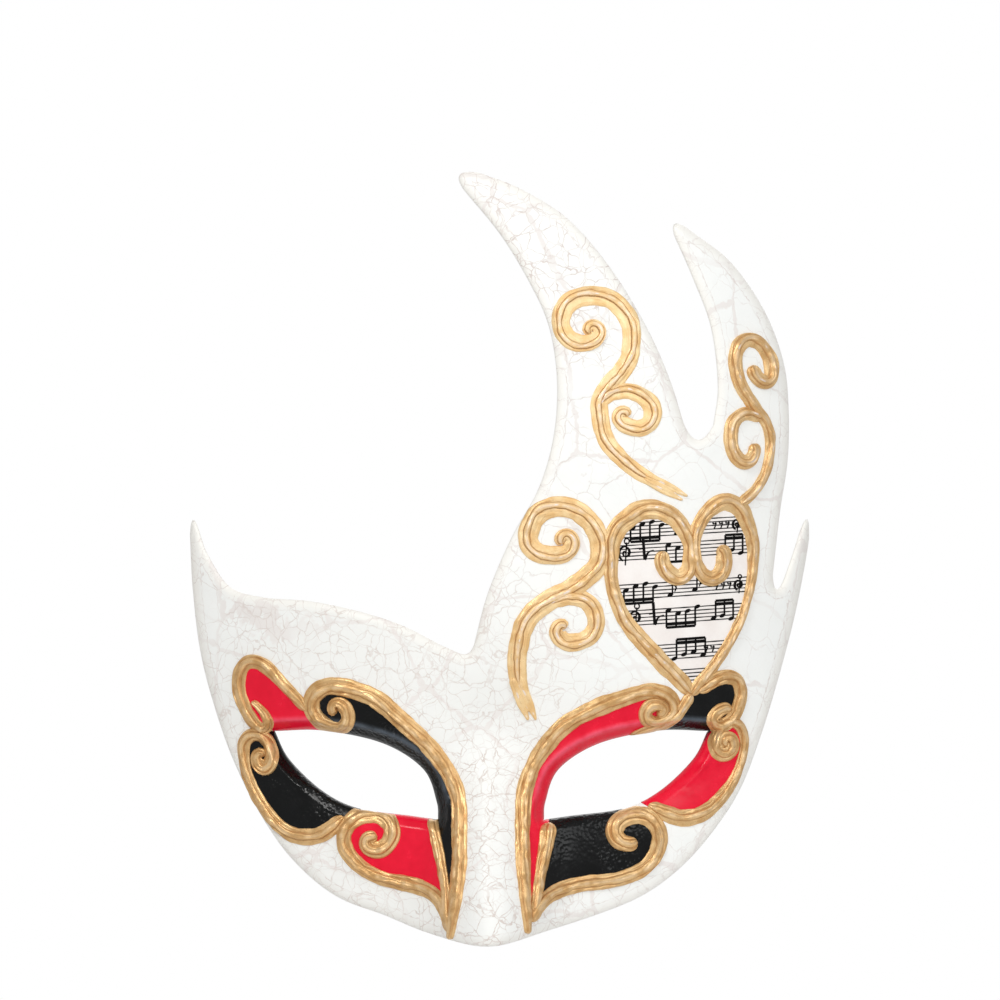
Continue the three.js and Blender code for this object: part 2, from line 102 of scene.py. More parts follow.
HEART_LEFT = [(51, 66), (50.7, 62.8), (52.2, 59.9), (55.4, 58), (58.3, 59.7), (59.1, 64),
              (58.9, 68), (57, 72.5), (54, 76), (50, 78), (45, 78), (41, 76), (38, 73.5),
              (36, 69.5), (35.4, 62.7), (36, 54.5), (39.2, 46.5), (44.6, 39.3), (50.6, 33),
              (56.3, 27.3), (59.2, 23.5)]
HEART_RIGHT = [(67.4, 66.9), (69, 65.4), (69.4, 62.2), (68.3, 59.1), (65.9, 57.6), (63.5, 58.4),
               (61.3, 61.5), (60.3, 66.5), (60.7, 71), (63, 75.7), (66.2, 79), (69.5, 80.4),
               (72.5, 79.8), (75.2, 77.5), (77, 73.5), (78.3, 68.5), (78.2, 58.8), (76, 49.3),
               (71.9, 40.1), (67, 32.7), (61.8, 26.3), (59.5, 23)]
# A stroke runs from the end inside its curl outwards: how pale its gold is, the half width
# of its bead, how far the bead leans to the outside of each bend, the widths of its band at
# even steps along it, its points, and how many brush tails its far end is drawn out into.
STROKES = {
    "tall_flame_scroll": (1.0, 0.85, 0.17, (3.6, 5.4, 5.9, 5.9, 5.6, 5.6, 5.2, 4.6, 2.6), [
        (29.4, 130.5), (28.7, 131.7), (29.7, 132.8), (31.2, 132.4), (31.9, 130.8), (31, 129.1),
        (29.1, 128), (26.3, 127.5), (23.4, 128.6), (21.3, 131.1), (20.7, 134), (21.3, 137),
        (23.4, 139.7), (26.4, 141.4), (30, 142), (33.6, 141.5), (36.8, 139.9), (39.5, 137.2),
        (41.5, 133.4), (41.9, 128.5), (41, 123.5), (38.5, 119), (34.9, 114.8), (32.5, 111),
        (32.1, 106.5), (33.4, 100.5), (37, 95), (42.5, 90), (49, 86.2), (55.2, 82.9)], 2),
    "tall_flame_curl": (1.0, 0.85, 0.1, (4.2, 5.2, 5.4, 4.9, 4.4), [
        (40.3, 105.6), (39.7, 106.8), (38.5, 106.7), (37.9, 105.4), (38.9, 103.9), (41.2, 102.8),
        (44.2, 102.4), (47, 104), (48.1, 107), (47.2, 109.8), (44.5, 112.2), (41, 113.4),
        (37.5, 113.2), (34.5, 112), (32.4, 109.5)], 0),
    "second_flame_scroll": (0.35, 1.0, 0.1, (4.2, 4.6, 4.4, 4.5, 4.3, 3.6, 3.1, 3.1, 3.6), [
        (78.7, 121.8), (79.2, 119.6), (80.8, 117.6), (83, 117), (84.6, 118.5), (84.8, 121.2),
        (84.2, 124), (82.5, 126.8), (80.2, 128.9), (77.4, 129.4), (74.9, 127.9), (73.5, 124.9),
        (73.3, 121.8), (74.2, 118), (76, 114), (79.5, 108.8), (82.5, 105), (84.1, 100), (84, 95),
        (82.3, 88.8), (79.1, 83.8), (74.5, 79.8)], 0),
    "second_flame_curl": (0.35, 1.0, 0.1, (3.6, 4.5, 4.4, 4.3, 3.9), [
        (78.3, 98), (79, 96), (77.5, 92.9), (75.2, 92.6), (73, 94.5), (71.9, 97.8), (71.9, 101.4),
        (73, 104.7), (75.6, 106.9), (78.5, 107), (81.6, 105.5)], 0),
    "brow_scroll": (0.75, 0.95, 0.15, (3.8, 5.5, 6.1, 6.1, 5.8, 6.1, 6.3, 6.0, 5.6, 4.0), [
        (21.2, 68.1), (20.5, 69.3), (21.4, 70.5), (22.8, 70.4), (23.7, 68.8), (23.3, 66.8),
        (21.9, 65.4), (19.7, 64.7), (17.1, 64.7), (13.8, 65.7), (11.5, 67.8), (11, 71),
        (12.1, 74.4), (14.4, 77.5), (18, 79), (21.8, 78.9), (25.5, 77.7), (29, 75), (31.3, 71.2),
        (32.2, 67), (31.6, 62.5), (28.6, 58.5), (23.5, 54.8), (17.1, 51.6), (12.5, 48),
        (9.2, 42.5), (7.7, 36), (7.9, 29.5), (9.1, 24), (11.1, 18.8)], 2),
    "brow_curl": (0.75, 0.95, 0.1, (4.4, 5.2, 5.4, 4.9, 4.4), [
        (22, 43.2), (21.1, 44.2), (19.9, 43.6), (19.5, 42), (20.6, 40.3), (22.4, 39.3),
        (24.4, 39.1), (26.8, 39.5), (29.3, 41), (30.8, 43.9), (30.8, 46.8), (29.7, 49.6),
        (27.2, 51.7), (24, 52.3), (20.8, 51.9), (17.5, 50.5)], 0),
    "heart_left": (0.45, 1.0, 0.14, (4.6, 5.0, 4.6, 5.6, 6.2, 5.6, 4.0, 4.4, 5.2, 5.3, 4.6),
                   HEART_LEFT, 0),
    "heart_right": (0.3, 1.0, 0.1, (4.8, 5.0, 3.8, 4.4, 5.6, 4.8, 3.4, 2.9, 3.2, 3.6, 3.8),
                    HEART_RIGHT, 0),
    "heart_tail": (0.3, 1.0, 0.0, (3.4, 3.5, 3.8, 2.8), [
        (59.4, 23.4), (57, 19.8), (54.9, 16.9), (51.6, 14.6), (47.7, 12.9), (43.5, 11.5),
        (41.1, 10.6)], 0),
    "right_brow": (0.15, 1.15, -0.06, (3.6, 4.3, 4.6, 4.9, 5.4, 5.2, 4.9, 4.7, 4.3, 3.6, 1.5), [
        (48.9, 17.5), (50.2, 18), (50.4, 19.5), (49, 20.4), (47.1, 20.1), (45.6, 18.4), (46, 16.2),
        (48.3, 14.9), (51.7, 16.2), (54, 18.7), (53.6, 21.4), (51.2, 23.6), (47.6, 24.6),
        (43.4, 23.8), (38.7, 22.3), (33.9, 20.8), (29.2, 18.9), (24.4, 16.5), (20.3, 13.3),
        (16.8, 9.5), (13.8, 5.4), (11.5, 0.7), (10, -4.2), (9.4, -9.4), (9.2, -18), (9.5, -27.6),
        (10.1, -37), (10.6, -45)], 0),
    "right_corner": (0.15, 1.0, 0.05, (3.8, 4.4, 4.2, 4.2, 4.4, 4.2), [
        (71.5, 18.3), (69.6, 18.7), (67.3, 17.7), (66, 15.7), (67, 13.9), (69.7, 13.9),
        (72.4, 16.2), (74.1, 20), (74.6, 24), (73.4, 27.2), (70.6, 28.3), (67.5, 27.7),
        (64.5, 26.1), (61.3, 24)], 0),
    "right_cheek": (0.15, 1.0, 0.0, (3.8, 4.6, 4.6, 3.4, 2.8, 3.0, 4.2, 5.0, 5.0, 4.0), [
        (70.2, 7.5), (69.5, 8.6), (70.2, 9.8), (71.6, 9.3), (72.1, 7.4), (71.1, 5.6), (69.1, 5),
        (67.3, 6.2), (66.6, 8.8), (67.3, 11.6), (69.2, 13.9), (71.8, 14.7), (74.2, 13.4),
        (75.6, 10.6), (75.8, 7.3), (74.9, 3.2), (73.3, -1), (71.1, -4.7), (68.3, -8.2),
        (64.8, -11.1), (60.8, -13), (56.5, -13.4), (52, -12), (46.4, -9.6)], 0),
    "right_nose_scroll": (0.15, 1.15, 0.05, (4.4, 5.6, 5.2, 4.9, 4.6, 4.4, 4.8, 4.6, 3.0), [
        (43.2, -20), (40.8, -20.6), (38.1, -19.7), (36.6, -17.4), (37.1, -14.8), (39.4, -13),
        (42.9, -12.2), (46.4, -13.1), (49, -15.9), (49.9, -19.4), (49, -23.3), (46.8, -26.5),
        (43.3, -28.9), (38.9, -30.5), (33.9, -31.5), (28.8, -31.9), (23.8, -32.4), (19.4, -33.7),
        (16.1, -35.6), (13.7, -38.2), (11.9, -41.8)], 0),
    "right_inner": (0.2, 1.05, 0.0, (5.0, 4.4, 3.8, 3.2, 2.4), [
        (17.2, -14.1), (16.4, -18.3), (15.6, -22.5), (14.8, -26.7), (14, -30.9), (13.3, -34.8),
        (12.5, -38.9)], 0),
    "left_brow": (0.1, 1.2, -0.08, (3.6, 4.4, 5.2, 5.4, 5.6, 5.3, 5.0, 4.7, 4.4, 4.0, 1.5), [
        (-45.4, 18), (-46.6, 18.9), (-46.3, 20.6), (-44.7, 21), (-43.1, 19.8), (-42.2, 17.7),
        (-42.5, 15.3), (-44.3, 13.5), (-46.9, 13.2), (-49.3, 14.3), (-51.5, 16.1), (-53.1, 18.8),
        (-53, 21.9), (-51.1, 24.5), (-47.6, 25.9), (-43.1, 25.7), (-38.7, 24.4), (-34.5, 22.5),
        (-30.6, 19.8), (-26.8, 16.6), (-23, 13), (-19.1, 9.2), (-15.6, 5.2), (-12.5, 0.9),
        (-10.5, -3.6), (-9.5, -8.2), (-9.1, -15), (-9.2, -24.5), (-10, -33), (-11.8, -46.9)], 0),
    "left_corner": (0.1, 1.0, 0.05, (1.8, 3.4, 4.2, 4.2, 4.4, 4.2, 3.4, 3.4), [
        (-71.2, 21), (-69.3, 19.4), (-67.3, 17), (-66.3, 14.3), (-67.6, 12.7), (-70.2, 14.1),
        (-72.3, 16.7), (-74, 19.7), (-75.2, 23), (-75.5, 26.5), (-74.8, 30), (-72.7, 32.4),
        (-69.9, 32.6), (-66.9, 31.2), (-63.9, 28.5), (-60.9, 25.3), (-57.9, 22.2),
        (-54.7, 18.7)], 0),
    "left_cheek": (0.1, 1.0, 0.05, (4.2, 4.6, 4.2, 3.8, 3.6, 3.8, 4.2, 4.8, 4.8, 4.6), [
        (-67.7, 4.4), (-68.6, 5.2), (-69.5, 4), (-69.1, 2), (-67.5, 0.9), (-65.9, 2.4),
        (-65.4, 5.7), (-66.5, 8.9), (-69, 10.7), (-71.7, 10.6), (-73.6, 8.6), (-74.1, 5.6),
        (-73.6, 1.7), (-72.4, -2.4), (-70.5, -6.5), (-68.1, -10.2), (-65.5, -13.6), (-62.4, -16.4),
        (-58.8, -18.4), (-54.7, -19), (-50.7, -18.2), (-47.1, -16), (-43.4, -12.8)], 0),
    "left_nose_scroll": (0.1, 1.15, 0.08, (4.2, 5.2, 5.4, 5.2, 4.6, 4.4, 4.6, 4.6, 3.0), [
        (-33.4, -18.3), (-34.9, -18.6), (-36.4, -19.2), (-36.6, -20.8), (-35.1, -22),
        (-32.6, -21.9), (-30.4, -20.3), (-29.1, -17.4), (-29.7, -14.6), (-32, -12.5),
        (-35.2, -11.7), (-38.7, -12.4), (-41.8, -14.6), (-43.4, -17.7), (-43.3, -21.2),
        (-41.4, -24.4), (-38.4, -27.3), (-34.8, -29.4), (-30.6, -30.9), (-26.2, -31.7),
        (-21.8, -32.4), (-17.8, -33.8), (-14.9, -36.2), (-13.1, -39.7), (-11.8, -44.9)], 0),
    "left_inner": (0.2, 0.95, 0.0, (3.6, 3.0, 2.9, 2.8, 2.2), [
        (-17.5, -12.7), (-16.4, -16.6), (-15.5, -20.8), (-14.6, -25), (-13.8, -29.1),
        (-13.1, -33.6), (-12.7, -38.4), (-12.1, -43.4)], 0),
}

# Painted panels. Their edges run under the middle of the gilt.
PANELS = {
    "red_left_corner": [(-75, 27), (-74, 21), (-72, 16), (-68.5, 12.6), (-65.3, 12.2), (-63, 8),
                        (-46.5, 8), (-47.5, 14), (-53, 19.5), (-57.9, 22.2), (-64.5, 28),
                        (-70, 32), (-74, 31)],
    "black_left_brow": [(-47.4, 13.8), (-52.9, 19.6), (-52, 23.5), (-47.6, 25.6), (-43, 25.4),
                        (-34.5, 22.3), (-26.8, 16.5), (-19, 9), (-12.5, 1), (-9.7, -8),
                        (-9.1, -19), (-10, -33), (-11.7, -45), (-13.3, -33), (-15.5, -21),
                        (-17.4, -12.8), (-17, -9), (-27, -1.5), (-47, 8)],
    "black_left_cheek": [(-68.5, 12.2), (-65.3, 12), (-62, 10), (-48, -3), (-37, -8),
                         (-40.5, -13.8), (-44.5, -15), (-50.5, -18), (-59, -18.2), (-65.5, -13.6),
                         (-70.5, -6.5), (-73.5, 1), (-74, 5.5), (-72, 9.8)],
    "red_left_nose": [(-29.5, -9), (-17, -9), (-17.4, -13), (-15.5, -21), (-13.5, -31),
                      (-12.8, -39), (-15.5, -35.5), (-21.5, -32.4), (-30.5, -31), (-38.5, -27.3),
                      (-43, -22), (-42.5, -15.5), (-35, -12.1)],
    "red_right_brow": [(16, -9), (20.5, 0), (32, 5.5), (45.5, 9), (47.5, 13.1), (54.3, 17.3),
                       (54, 21.4), (51.2, 23.8), (47.6, 24.4), (43.4, 23.6), (29.2, 18.8),
                       (20.3, 13.3), (13.8, 5.4), (10, -4.2), (9.2, -15.5), (9.5, -28),
                       (10.6, -42), (13.6, -33), (15.5, -22.5), (17.2, -14)],
    "black_right_corner": [(44, 9), (47.7, 13), (55, 17), (59.3, 23.3), (64.5, 26), (70.6, 27.9),
                           (74, 26), (74.4, 22.5), (72.5, 17.8), (69, 14.5), (66, 12.3), (64, 9),
                           (50, 8)],
    "red_right_cheek": [(66, 12), (68.2, 12.9), (71.1, 14.2), (74.2, 13.6), (75.7, 9), (74.9, 3.2),
                        (71.1, -4.7), (64.8, -11.1), (58, -13.4), (52, -12), (46.4, -9.8),
                        (43, -8), (56, 6.5), (62, 9.5)],
    "black_right_nose": [(17, -9), (17.2, -14.3), (15.6, -22.5), (14, -31), (12.2, -40),
                         (16.1, -35.6), (23.8, -32.4), (33.9, -31.5), (43.3, -28.9), (48, -25),
                         (49.9, -19.4), (46.4, -13.3), (39.4, -12.6), (38, -8)],
}
PAPER_START = (5, 7)       # the heart's strokes run inside the heart before these points


# ---------- curves and distances ----------
def smooth(start, end, value):
    """A soft step from 0 to 1 between two values."""
    t = np.clip((value - start) / (end - start), 0, 1)
    return t * t * (3 - 2 * t)


def bump(value, spread):
    """A bell curve of height 1."""
    return np.exp(-(value / spread) ** 2)


def waves(value, spacing, seed):
    """Gentle uneven waves between about -1 and 1: three sines whose lengths don't match."""
    phase = np.random.default_rng(seed).uniform(0, 2 * np.pi, 3)
    turn = 2 * np.pi * np.asarray(value, float) / spacing
    return (np.sin(turn + phase[0]) + 0.6 * np.sin(1.73 * turn + phase[1])
            + 0.4 * np.sin(2.91 * turn + phase[2])) / 1.6


def even(points, spacing):
    """The same line with its points an even distance apart along it."""
    points = np.asarray(points, float)
    run = np.append(0, np.cumsum(np.linalg.norm(np.diff(points, axis=0), axis=1)))
    places = np.linspace(0, run[-1], max(int(np.ceil(run[-1] / spacing)), 2) + 1)
    return np.column_stack([np.interp(places, run, column) for column in points.T])


def curve(points, spacing, power=0.5):
    """A Catmull-Rom curve through the points, whose knots are the chords to the given power:
    0.5 keeps tight bends from looping, and 0 is the plain form."""
    points = np.asarray(points, float)
    ends = 2 * points[[0, -1]] - points[[1, -2]]
    p = np.vstack([ends[:1], points, ends[1:]])
    dt = np.linalg.norm(np.diff(p, axis=0), axis=1)[:, None] ** power
    leave = ((p[1:-2] - p[:-3]) / dt[:-2] - (p[2:-1] - p[:-3]) / (dt[:-2] + dt[1:-1])
             + (p[2:-1] - p[1:-2]) / dt[1:-1]) * dt[1:-1]
    arrive = ((p[2:-1] - p[1:-2]) / dt[1:-1] - (p[3:] - p[1:-2]) / (dt[1:-1] + dt[2:])
              + (p[3:] - p[2:-1]) / dt[2:]) * dt[1:-1]
    t = np.linspace(0, 1, 24, endpoint=False)[None, :, None]
    a, b = p[1:-2, None], p[2:-1, None]
    leave, arrive = leave[:, None], arrive[:, None]
    fine = (a + leave * t + (3 * (b - a) - 2 * leave - arrive) * t ** 2
            + (2 * (a - b) + leave + arrive) * t ** 3)
    return even(np.vstack([fine.reshape(-1, 2), points[-1:]]), spacing)


def rounded_tip(start, corner, end):
    """A quadratic bend from start to end about the corner."""
    t = np.linspace(0, 1, 16)[:, None]
    start, corner, end = np.array(start), np.array(corner), np.array(end)
    return (1 - t) ** 2 * start + 2 * t * (1 - t) * corner + t ** 2 * end


def closed_outline(spacing):
    """The mask's edge: smooth sweeps joined by rounded tips and notches."""
    pieces = []
    for i, (sweep, corner) in enumerate(OUTLINE):
        following = OUTLINE[(i + 1) % len(OUTLINE)][0]
        pieces += [curve(sweep, 0.3, power=0.0), rounded_tip(sweep[-1], corner, following[0])]
    return even(np.vstack(pieces), spacing)[:-1][::-1]


def eye_outline(side, spacing):
    """One eye hole: an upper and a lower curve that meet in two sharp corners. It runs the
    other way round from the outer edge, so that the shell lies on the same side of both."""
    upper = curve(EYE_UPPER, spacing, power=0.0)
    lower = curve(EYE_LOWER, spacing, power=0.0)
    loop = np.vstack([upper[:-1], lower[:-1]]) * (side, 1)
    return loop if side > 0 else loop[::-1]


def signed_area(loop):
    """The area inside a closed loop, above zero when it runs anticlockwise."""
    x, z = loop.T
    return 0.5 * np.sum(x * np.roll(z, -1) - np.roll(x, -1) * z)


def inside(loop, points):
    """Whether each point lies in the closed loop, by counting the edges to its right."""
    x, z = points.T
    ends = np.roll(loop, -1, axis=0)
    hit = np.zeros(len(points), bool)
    for (x0, z0), (x1, z1) in zip(loop, ends):
        if z0 != z1:
            hit ^= ((z0 > z) != (z1 > z)) & (x < x0 + (z - z0) * (x1 - x0) / (z1 - z0))
    return hit


def nearest(loop, points):
    """The distance from each point to the closed loop, the nearest place on the loop and how
    far along the loop that is, from the two edges that meet at the nearest corner."""
    corner = np.argmin((loop ** 2).sum(1) - 2 * points @ loop.T, axis=1)
    step = np.roll(loop, -1, axis=0) - loop
    length = np.linalg.norm(step, axis=1)
    run = np.append(0, np.cumsum(length))[:-1]
    choices = []
    for i in (corner, corner - 1):
        t = np.clip(((points - loop[i]) * step[i]).sum(1) / length[i] ** 2, 0, 1)
        place = loop[i] + t[:, None] * step[i]
        gap = np.linalg.norm(points - place, axis=1)
        choices.append(np.column_stack([gap, place, run[i] + t * length[i]]))
    ahead, behind = choices
    return np.where(ahead[:, :1] < behind[:, :1], ahead, behind).T


edge_loop = closed_outline(0.9)
eye_loops = [eye_outline(-1, 0.8), eye_outline(1, 0.8)]
low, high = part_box("shell")
ACROSS = (high.x - low.x) / MM / np.ptp(edge_loop[:, 0])
UPWARD = (high.z - low.z) / MM / np.ptp(edge_loop[:, 1])
PLAN_TO_METRES = np.array([ACROSS, 1.0, UPWARD]) * MM


# ---------- the curved face ----------
def form(x, z):
    """Depth of the plain form: a half barrel that leans back above the brow, with a nose that
    grows downwards, a hollow over the nose's bridge and a pressed-in socket at each eye."""
    barrel = SIDE_DEPTH * (1 - np.sqrt(1 - (np.minimum(np.abs(x), 107) / BARREL_HALF) ** 2))
    lean = CREST_LEAN * (np.maximum(z - 30, 0) / (DRAWN_TOP - 30)) ** 2
    down = smooth(14, -50, z)
    nose = -NOSE_RISE * down * bump(x, 8 + 9 * down)
    nasion = 3 * bump(z - 14, 13) * bump(x, 14)
    out = np.abs(x) - EYE_MIDDLE
    socket = SOCKET_DEPTH * bump(out, 30) * bump(z - 0.22 * out, 13)
    return barrel + lean + nose + nasion + socket


def hand_shaped(x, z):
    """The small unevenness of pressed paper: crossed waves a fraction of a millimetre deep."""
    return (0.16 * waves(x + 0.4 * z, 31, 1) * waves(z - 0.3 * x, 27, 2)
            + 0.07 * waves(0.8 * x - z, 13, 3) * waves(x + z, 11, 4))


def base(x, z):
    """Depth of the face before its edges are worked, with the bridge of the nose at 0."""
    return form(x, z) - form(0.0, 0.0) - WALL + hand_shaped(x, z)


def slopes(x, z):
    """How fast the base falls back across and upwards, from its change over a small step."""
    h = 0.2
    across = base(x + h, z) - base(x - h, z)
    return across / (2 * h), (base(x, z + h) - base(x, z - h)) / (2 * h)


def outward(x, z):
    """Unit direction that stands off the front of the face."""
    slope_x, slope_z = slopes(x, z)
    away = np.stack([slope_x, -np.ones_like(slope_x), slope_z], -1)
    return away / np.linalg.norm(away, axis=-1, keepdims=True)


def quarter(distance, width):
    """A quarter ellipse: 1 at the edge, falling to 0 at the given distance from it."""
    t = 1 - np.clip(distance / width, 0, 1)
    return 1 - np.sqrt(np.maximum(1 - t * t, 0))


def over_eye(x, z):
    """Height above the slanting line through an eye's two corners."""
    return z - 0.3 * (np.abs(x) - EYE_MIDDLE) + 3


def rim_turn(x, z, to_eye):
    """How far the face turns in beside an eye hole: a raised crease, a crisp bend, then an
    even slope, deepest over the top of the eye."""
    share = 0.35 + 0.65 * smooth(-9, 0, over_eye(x, z))
    slope = np.maximum(1 - to_eye / RIM_WIDTH, 0)
    crease = 0.36 * smooth(0.4, 0.9, share) * bump(to_eye - RIM_WIDTH - 0.3, 0.8)
    return RIM_TURN * share * (np.sqrt(slope ** 2 + 0.01) - 0.1) - crease


def edges(x, z):
    """The distance to the outer edge, the place along it, and the distance to the nearer eye
    hole."""
    points = np.column_stack([np.ravel(x), np.ravel(z)])
    outer, _, _, run = nearest(edge_loop, points)
    return outer, run, np.minimum(*(nearest(loop, points)[0] for loop in eye_loops))


def front_depth(x, z, outer, to_eye):
    """Depth of the outer skin: the base form, turned in at the eyes and rounded at the edges."""
    slope_x, slope_z = slopes(x, z)
    steep = np.sqrt(1 + slope_x ** 2 + slope_z ** 2)
    drop = 0.5 * WALL * np.maximum(quarter(outer, SHOULDER), quarter(to_eye, EYE_ROUND))
    return base(x, z) + (drop + rim_turn(x, z, to_eye)) * steep


def back_depth(x, z, outer, to_eye):
    """Depth of the inner skin, one wall behind, with its own tighter rounding."""
    slope_x, slope_z = slopes(x, z)
    steep = np.sqrt(1 + slope_x ** 2 + slope_z ** 2)
    rise = 0.5 * WALL * np.maximum(quarter(outer, BACK_ROUND), quarter(to_eye, BACK_ROUND))
    return base(x, z) + (WALL - rise + rim_turn(x, z, to_eye)) * steep


# ---------- meshes ----------
def make_piece(name, points, faces, finishes, finish_of_face=None, attributes=None, uv=None,
               several=False):
    """Puts points in millimetres and faces into a closed, smooth-shaded mesh in metres. The
    values of attributes and of the map are given point by point. Where a piece is several
    closed parts, each has its faces turned outwards."""
    mesh = bpy.data.meshes.new(name)
    mesh.from_pydata((points * PLAN_TO_METRES).tolist(), [], faces)
    for label, values in (attributes or {}).items():
        mesh.attributes.new(label, "FLOAT", "POINT").data.foreach_set("value", values)
    if uv is not None:
        corner = np.empty(len(mesh.loops), int)
        mesh.loops.foreach_get("vertex_index", corner)
        mesh.uv_layers.new(name="stroke").data.foreach_set("uv", uv[corner].ravel())
    for finish in finishes:
        mesh.materials.append(finish)
    if finish_of_face is not None:
        mesh.polygons.foreach_set("material_index", finish_of_face)
    shaped = bmesh.new()
    shaped.from_mesh(mesh)
    bmesh.ops.remove_doubles(shaped, verts=shaped.verts, dist=2e-6)
    if several:
        bmesh.ops.recalc_face_normals(shaped, faces=shaped.faces)
    else:
        bmesh.ops.dissolve_degenerate(shaped, dist=1e-6, edges=shaped.edges)
    shaped.to_mesh(mesh)
    shaped.free()
    mesh.shade_smooth()
    piece = bpy.data.objects.new(name, mesh)
    bpy.context.collection.objects.link(piece)
    return piece


def closed_run(rows):
    """Points and faces of a solid whose cross sections, each a closed ring of points, follow
    one another along a line: quads between neighbours and a cap at each end."""
    index = np.arange(rows.shape[0] * rows.shape[1]).reshape(rows.shape[:2])
    around = np.roll(index, -1, axis=1)
    quads = np.stack([index[:-1], index[1:], around[1:], around[:-1]], -1).reshape(-1, 4)
    return rows.reshape(-1, 3), quads.tolist() + [index[0].tolist(), index[-1][::-1].tolist()]


def gathered(parts):
    """One set of points and faces from several parts, the faces renumbered."""
    starts = np.cumsum([0] + [len(part[0]) for part in parts])
    faces = [[start + i for i in face] for part, start in zip(parts, starts.tolist())
             for face in part[1]]
    return np.vstack([part[0] for part in parts]), faces


def hexagonal_points(spacing):
    """Points in a pattern of even triangles over the mask's box."""
    rows = np.arange(*PLAN_BOX[1], spacing * 0.866)
    columns = np.arange(*PLAN_BOX[0], spacing)
    x, z = np.meshgrid(columns, rows)
    x = x + 0.5 * spacing * (np.arange(len(rows)) % 2)[:, None]
    return np.column_stack([x.ravel(), z.ravel()])


def offset_rings(loop, distances):
    """Copies of a loop moved into the shell by each distance, without the points that come
    nearer to the loop than that."""
    ahead = np.roll(loop, -1, axis=0) - np.roll(loop, 1, axis=0)
    inward = np.column_stack([-ahead[:, 1], ahead[:, 0]])
    inward /= np.linalg.norm(inward, axis=1, keepdims=True)
    rings = []
    for distance in distances:
        ring = loop + inward * distance
        rings.append(ring[nearest(loop, ring)[0] > 0.96 * distance])
    return np.vstack(rings)


def face_triangles():
    """The plan of the shell cut into triangles: rings that follow the edges closely, an even
    pattern between them, and the paper's and the panels' edges as cuts."""
    rounding = 1 - np.sin(np.radians([75, 60, 45, 30, 15, 0]))      # even steps of its arc
    rings = [offset_rings(edge_loop, SHOULDER * rounding)]
    turning = [0.08, 0.25, 0.5, 0.8, 1.1, 1.6, 2.1, 2.5, 2.8, 3.1, 3.4, 3.7, 4.0, 4.3, 4.8]
    rings += [offset_rings(loop, turning) for loop in eye_loops]
    free = hexagonal_points(GRID)
    rings = np.vstack(rings)
    rings = rings[shell_holds(rings)]
    free = free[shell_holds(free)]
    outer, _, to_eye = edges(*rings.T)
    rings = rings[(outer > 0.05) & (to_eye > 0.05)]
    outer, _, to_eye = edges(*free.T)
    free = free[(outer > SHOULDER + 0.6) & (to_eye > RIM_RINGS)]
    cuts = [edge_loop] + eye_loops + [even(np.vstack([e, e[:1]]), 1.2)[:-1] for e in cut_lines()]
    starts = np.cumsum([0] + [len(cut) for cut in cuts])
    joins = [np.column_stack([np.arange(n), np.roll(np.arange(n), -1)]) + start
             for n, start in zip((len(cut) for cut in cuts), starts)]
    points = np.vstack(cuts + [rings, free])
    result = delaunay_2d_cdt([Vector(p) for p in points.tolist()],
                             np.vstack(joins).tolist(), [], 0, 1e-5)
    plan = np.array([tuple(v) for v in result[0]])
    triangles = np.array(result[2])
    return plan, triangles[shell_holds(plan[triangles].mean(1))]


def shell_holds(points):
    """Whether each point lies inside the outer edge and outside both eye holes."""
    held = inside(edge_loop, points)
    for loop in eye_loops:
        held &= ~inside(loop, points)
    return held


def paper_edge():
    """The paper's edge under the gilt: up the left side of the heart and down the right."""
    left = curve(HEART_LEFT[PAPER_START[0]:], 1.0)
    right = curve(HEART_RIGHT[PAPER_START[1]:], 1.0)
    return np.vstack([left[::-1], right])


def cut_lines():
    """The lines along which the plan is cut, so that paper and paint end cleanly."""
    return [paper_edge()] + [np.array(points, float) for points in PANELS.values()]


plan, triangles = face_triangles()
if signed_area(plan[triangles[0]]) < 0:
    triangles = triangles[:, ::-1]
used = np.unique(triangles)
renumber = np.zeros(len(plan), int)
renumber[used] = np.arange(len(used))
plan, triangles = plan[used], renumber[triangles]
plan_outer, plan_run, plan_eye = edges(*plan.T)
front = np.column_stack([plan[:, 0], front_depth(*plan.T, plan_outer, plan_eye), plan[:, 1]])
back = np.column_stack([plan[:, 0], back_depth(*plan.T, plan_outer, plan_eye), plan[:, 1]])


def directed_edges(faces):
    """The three edges of every triangle, each in the direction that the triangle uses."""
    return np.vstack([faces[:, [0, 1]], faces[:, [1, 2]], faces[:, [2, 0]]])


def border(faces):
    """The edges that only one triangle uses, in the direction that it uses them."""
    pairs = directed_edges(faces)
    keys = pairs.min(1).astype(np.int64) * (faces.max() + 1) + pairs.max(1)
    _, first, count = np.unique(keys, return_index=True, return_counts=True)
    return pairs[first[count == 1]]


def point_normals(points, faces):
    """The average direction of the triangles round each point, weighted by their area."""
    a, b, c = points[faces].transpose(1, 0, 2)
    across = np.cross(b - a, c - a)
    total = np.zeros_like(points)
    for corner in range(3):
        np.add.at(total, faces[:, corner], across)
    return total / np.maximum(np.linalg.norm(total, axis=1, keepdims=True), 1e-9)


# ---------- materials ----------
# Patterns lie on coordinates in millimetres, so a scale is 1 over the size of one feature.
def linear(hex_colour):
    """An sRGB hex colour as linear red, green, blue and alpha."""
    value = np.array([int(hex_colour[i:i + 2], 16) for i in (1, 3, 5)]) / 255
    value = np.where(value <= 0.04045, value / 12.92, ((value + 0.055) / 1.055) ** 2.4)
    return (*value, 1.0)


